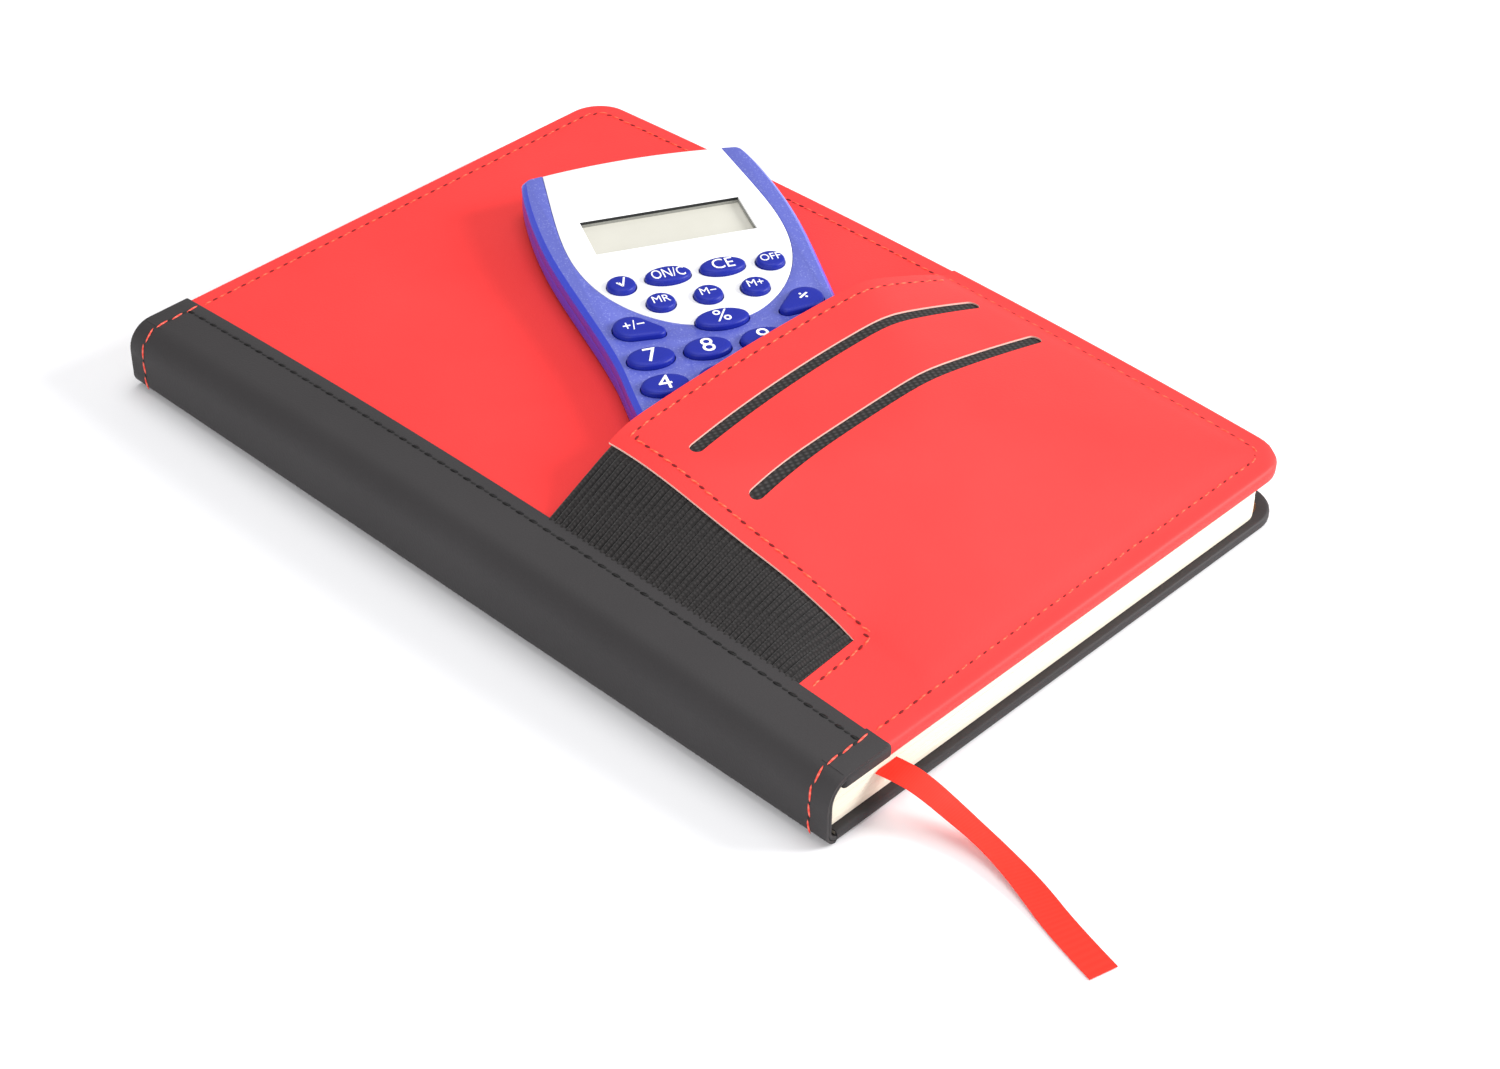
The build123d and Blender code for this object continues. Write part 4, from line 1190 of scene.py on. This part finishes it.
def make_hem_stitches():
    """Red rows across the spine's ends, over its round and down the wall to the table."""
    line = [point for point in spine_profile()[2:] if point[1] > 0.6]
    places = []
    for y in (-half_height + hem_stitch_inset, half_height - hem_stitch_inset):
        for point, heading in walk(line, hem_stitch_pitch):
            up = Vector((heading.y, 0, -heading.x))
            if up.dot(Vector((point.x, 0, point.y)) - Vector((0, 0, 8))) < 0:
                up = -up
            z = point.y + arch_at(y) * spine_share(point.y)
            along = Vector((heading.x, 0, heading.y))
            places.append((Vector((point.x, y, z)) + up * stitch_lift, along, up))
    stitch_row("hem_stitches", places, (red_thread, hole_shade_on_black), spine_flex,
               ["hem_stitching"], hem_stitch_length)


make_stitches()
make_hem_stitches()


# ---- Calculator ----
def node_copy(node, name):
    """A CAD node's shape as one joined mesh, in millimetres, ready to be finished."""
    deselect()
    piece = nodes[node].copy()
    piece.data = nodes[node].data.copy()
    for key in list(piece.keys()):
        if key.startswith("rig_"):
            del piece[key]
    bpy.context.scene.collection.objects.link(piece)
    piece.parent = None
    piece.matrix_world = Matrix.Identity(4)
    piece.name = name
    piece.data.name = name
    piece.data.materials.clear()
    piece.data.transform(Matrix.Scale(1 / MM, 4))
    edit(piece)
    bpy.ops.mesh.select_all(action="SELECT")
    bpy.ops.mesh.remove_doubles(threshold=0.002)
    bpy.ops.mesh.dissolve_limited(angle_limit=math.radians(0.5))
    leave()
    return piece


def make_calculator_shells():
    front = node_copy("calculator_front_shell", "front_shell")
    soften(front, 0.22)
    front.data.materials.append(pearl)
    front.data.materials.append(side_blue)
    # The top gets the pearl with its painted sheen, and the sides the deep blue without it.
    for face in front.data.polygons:
        if face.normal.z < 0.93:
            face.material_index = 1
    finish_piece(front, "calculator", [], ["calculator_front_shell"], smooth=40)
    back = node_copy("calculator_back_shell", "back_shell")
    soften(back, 0.2)
    finish_piece(back, "calculator", side_blue, ["calculator_back_shell"],
                 smooth=40)
    plate = node_copy("face_plate", "white_face_plate")
    activate(plate)
    middle = CALCULATOR @ Vector((0, plate_middle_y, 0))
    shrink = Matrix.Scale(1 - plate_joint / plate_half_width, 4)
    plate.data.transform(Matrix.Translation((middle.x, middle.y, face_z))
                         @ shrink @ Matrix.Translation((-middle.x, -middle.y, -face_z)))
    soften(plate, 0.1)
    finish_piece(plate, "calculator", white_abs, ["face_plate"], smooth=40)
    door = node_copy("battery_door", "battery_door_moulding")
    soften(door, 0.12)
    finish_piece(door, "battery_door", side_blue, ["battery_door"], smooth=40)


def make_display_frame():
    """The display's recess: a grey band round the glass, painted shadow of the recess on the liquid
    crystal, and the printed black wall over it.
    """
    x0, x1, y0, y1 = window
    # The lower, grey level is painted shadow that the recess casts on the liquid crystal.
    levels = (("display_recess_shadow_band", recess_shadow_grey, glass_top + 0.01, face_z - 0.75, 0.25),
              ("display_frame", frame_black, face_z - 0.75, face_z - 0.05, 0.12))
    for name, material, low_z, high_z, wall in levels:
        piece = box_piece(name, (x0 - 0.02, y0 - 0.02, low_z), (x1 + 0.02, y1 + 0.02, high_z))
        edit(piece)
        pick(piece, lambda at, normal: abs(normal.z) > 0.9)
        bpy.ops.mesh.inset(thickness=wall)
        bpy.ops.mesh.bridge_edge_loops()
        leave()
        face_out(piece)
        finish_piece(piece, "calculator", material, (), CALCULATOR, smooth=0)


def teardrop(side):
    """Round outer end, narrowing towards the middle of the keypad."""
    big = arc((-side * 1.6, 0.9), 4.0, 0, 360, 36)[:-1]
    small = arc((side * 3.6, -1.9), 1.7, 0, 360, 24)[:-1]
    points = [Vector(point) for point in big + small]
    return [tuple(points[index]) for index in convex_hull_2d(points)]


def key_list():
    """Each key: name, centre, outline, legend, legend's height, shift and turn."""
    outer, inner = 1.5 * column_pitch, 0.5 * column_pitch
    rows = [first_row_y - number * row_pitch for number in range(4)]
    small, wide, number = ellipse(3.2, 3.2), ellipse(5.2, 3.1), ellipse(5.2, 3.5)
    keys = [
        ("root", (-17.2, -1.9), small, "√", 3.4, (0.1, 0.1), 0),
        ("on", (-6.3, -1.1), wide, "ON/C", 3.4, (0, 0.0), 0),
        ("clear", (6.3, -1.1), wide, "CE", 3.8, (0, 0.1), 0),
        ("off", (17.2, -1.9), small, "OFF", 2.6, (0, 0.3), 0),
        ("memory_recall", (-10.8, -10.8), small, "MR", 2.6, (0, 0.3), 0),
        ("memory_minus", (0.0, -10.8), small, "M−", 2.6, (0, 0.3), 0),
        ("memory_plus", (10.8, -10.8), small, "M+", 2.6, (0, 0.3), 0),
        ("sign", (-18.2, -19.3), teardrop(1), "+/−", 3.4, (-1.0, 0.9), 0),
        ("percent", (0.0, -20.6), ellipse(6.0, 3.4), "%", 4.3, (0, 0.2), 0),
        ("divide", (18.2, -19.3), teardrop(-1), "÷", 4.2, (1.2, 1.0), 38),
    ]
    legends = ["789×", "456−", "123"]
    names = [("7", "8", "9", "multiply"), ("4", "5", "6", "minus"), ("1", "2", "3")]
    for y, row_names, row_legends in zip(rows, names, legends):
        for x, name, legend in zip((-outer, -inner, inner, outer), row_names, row_legends):
            keys.append((name, (x, y), number, legend, number_height, (0, 0.1), 0))
    for x, name, legend in zip((-column_pitch, 0, column_pitch), ("0", "point", "equals"), "0.="):
        keys.append((name, (x, rows[3]), number, legend, number_height, (0, 0.1), 0))
    keys.append(("plus", (outer, rows[2]), number, "+", number_height, (0, 0.1), 0))
    return keys


def make_key(name, outline):
    """A rubber key: straight sides, a soft shoulder and a low dome."""
    piece = outline_piece("rubber_key_" + name, outline, face_z - key_skirt)
    edit(piece)
    bpy.ops.mesh.select_all(action="SELECT")
    extrude((0, 0, key_skirt + key_wall))
    height, scale = key_wall, 1.0
    for next_scale, next_height in KEY_DOME:
        extrude((0, 0, next_height - height))
        share = next_scale / scale
        bpy.ops.transform.resize(value=(share, share, 1), center_override=(0, 0, 0))
        height, scale = next_height, next_scale
    leave()
    face_out(piece)
    return piece


def make_legend(name, key, legend, height, shift, turn):
    """The key's printed legend, as thin ink that follows the dome."""
    deselect()
    bpy.ops.object.text_add()
    text = bpy.context.view_layer.objects.active
    text.data.body = legend
    text.data.align_x = "CENTER"
    text.data.align_y = "CENTER"
    text.data.size = height / capital_share
    text.data.resolution_u = 3
    bpy.ops.object.convert(target="MESH")
    piece = named("legend_" + name)
    piece.rotation_euler = (0, 0, math.radians(turn))
    piece.scale = (legend_widths[min(len(legend), 4)], 1, 1)
    piece.location = (shift[0], shift[1], 0)
    bpy.ops.object.transform_apply(location=True, rotation=True, scale=True)
    heights = [corner.co.y for corner in piece.data.vertices]
    middle = (min(heights) + max(heights)) / 2
    edit(piece)
    bpy.ops.mesh.select_all(action="SELECT")
    bpy.ops.mesh.remove_doubles(threshold=0.001)
    leave()
    bisect_all(piece, steps(-4, 4, 22), (1, 0, 0))
    bisect_all(piece, steps(-4, 4, 22), (0, 1, 0))
    for corner in piece.data.vertices:
        corner.co.y += shift[1] - middle
        hit, place, normal, index = key.ray_cast(Vector((corner.co.x, corner.co.y, 100)),
                                                 Vector((0, 0, -1)))
        corner.co.z = place.z + legend_lift if hit else face_z + 0.9
    modify(piece, "SOLIDIFY", thickness=legend_ink, offset=0)
    return piece


def make_keys():
    for name, centre, outline, legend, height, shift, turn in key_list():
        body = "key_" + name
        place = CALCULATOR @ Matrix.Translation((*centre, 0))
        key = make_key(name, outline)
        ink = make_legend(name, key, legend, height, shift, turn)
        finish_piece(key, body, key_rubber, [body], place, smooth=50)
        finish_piece(ink, body, print_white, (), place, smooth=50)


make_calculator_shells()
make_display_frame()
make_keys()


# ---- CAD nodes that stay as they are ----
KEPT_NODES = {
    "back_board": grey_board,
    "back_endpaper": end_paper,
    "spine_stiffener": grey_board,
    "spine_gauze": gauze,
    "ribbon_between_leaves": ribbon_satin,
    "front_board": grey_board,
    "front_padding": foam,
    "front_endpaper": end_paper,
    "display_glass": display_glass,
    "display_connector": silicone,
    "rubber_keypad": silicone,
    "circuit_board": solder_mask,
    "button_cell": plated_steel,
    "battery_contacts": plated_steel,
    "shell_screws": plated_steel,
}


def finish_kept_nodes():
    for node, material in KEPT_NODES.items():
        mesh = nodes[node].data
        mesh.materials.clear()
        mesh.materials.append(material)


finish_kept_nodes()


# ---- Floor, light ----
def make_stage():
    deselect()
    bpy.ops.mesh.primitive_plane_add(size=6, location=(0, 0, -0.0002))
    floor = named("floor")
    material, tree, shader = new_material("pale_floor", Roughness=0.9, Specular_IOR_Level=0.1)
    place = add_node(tree, "TexCoord").outputs["Object"]
    tone = add_node(tree, "TexNoise", {"Vector": place, "Scale": 3.0})
    dress(tree, shader, tone.outputs[0], "#F4F4F6", "#F8F8FA", tone.outputs[0], 0.0)
    floor.data.materials.append(material)
    world = bpy.data.worlds.new("studio")
    bpy.context.scene.world = world
    world.use_nodes = True
    world.node_tree.nodes["Background"].inputs["Color"].default_value = (1, 1, 1, 1)
    world.node_tree.nodes["Background"].inputs["Strength"].default_value = 0.48
    lights = [
        ("overhead", (0.1, 0.1, 0.9), 0.7, 3.8),
        ("key", (0.6, -0.58, 0.42), 0.45, 9.6),
        ("fill", (-0.75, -0.35, 0.35), 0.8, 3.9),
    ]
    for name, place, size, power in lights:
        data = bpy.data.lights.new(name, "AREA")
        data.shape = "DISK"
        data.size = size
        data.energy = power
        light = bpy.data.objects.new(name, data)
        bpy.context.scene.collection.objects.link(light)
        light.location = place
        light.rotation_euler = (-Vector(place)).to_track_quat("-Z", "Y").to_euler()
    bpy.context.scene.view_settings.view_transform = "Standard"


make_stage()

bpy.context.view_layer.update()
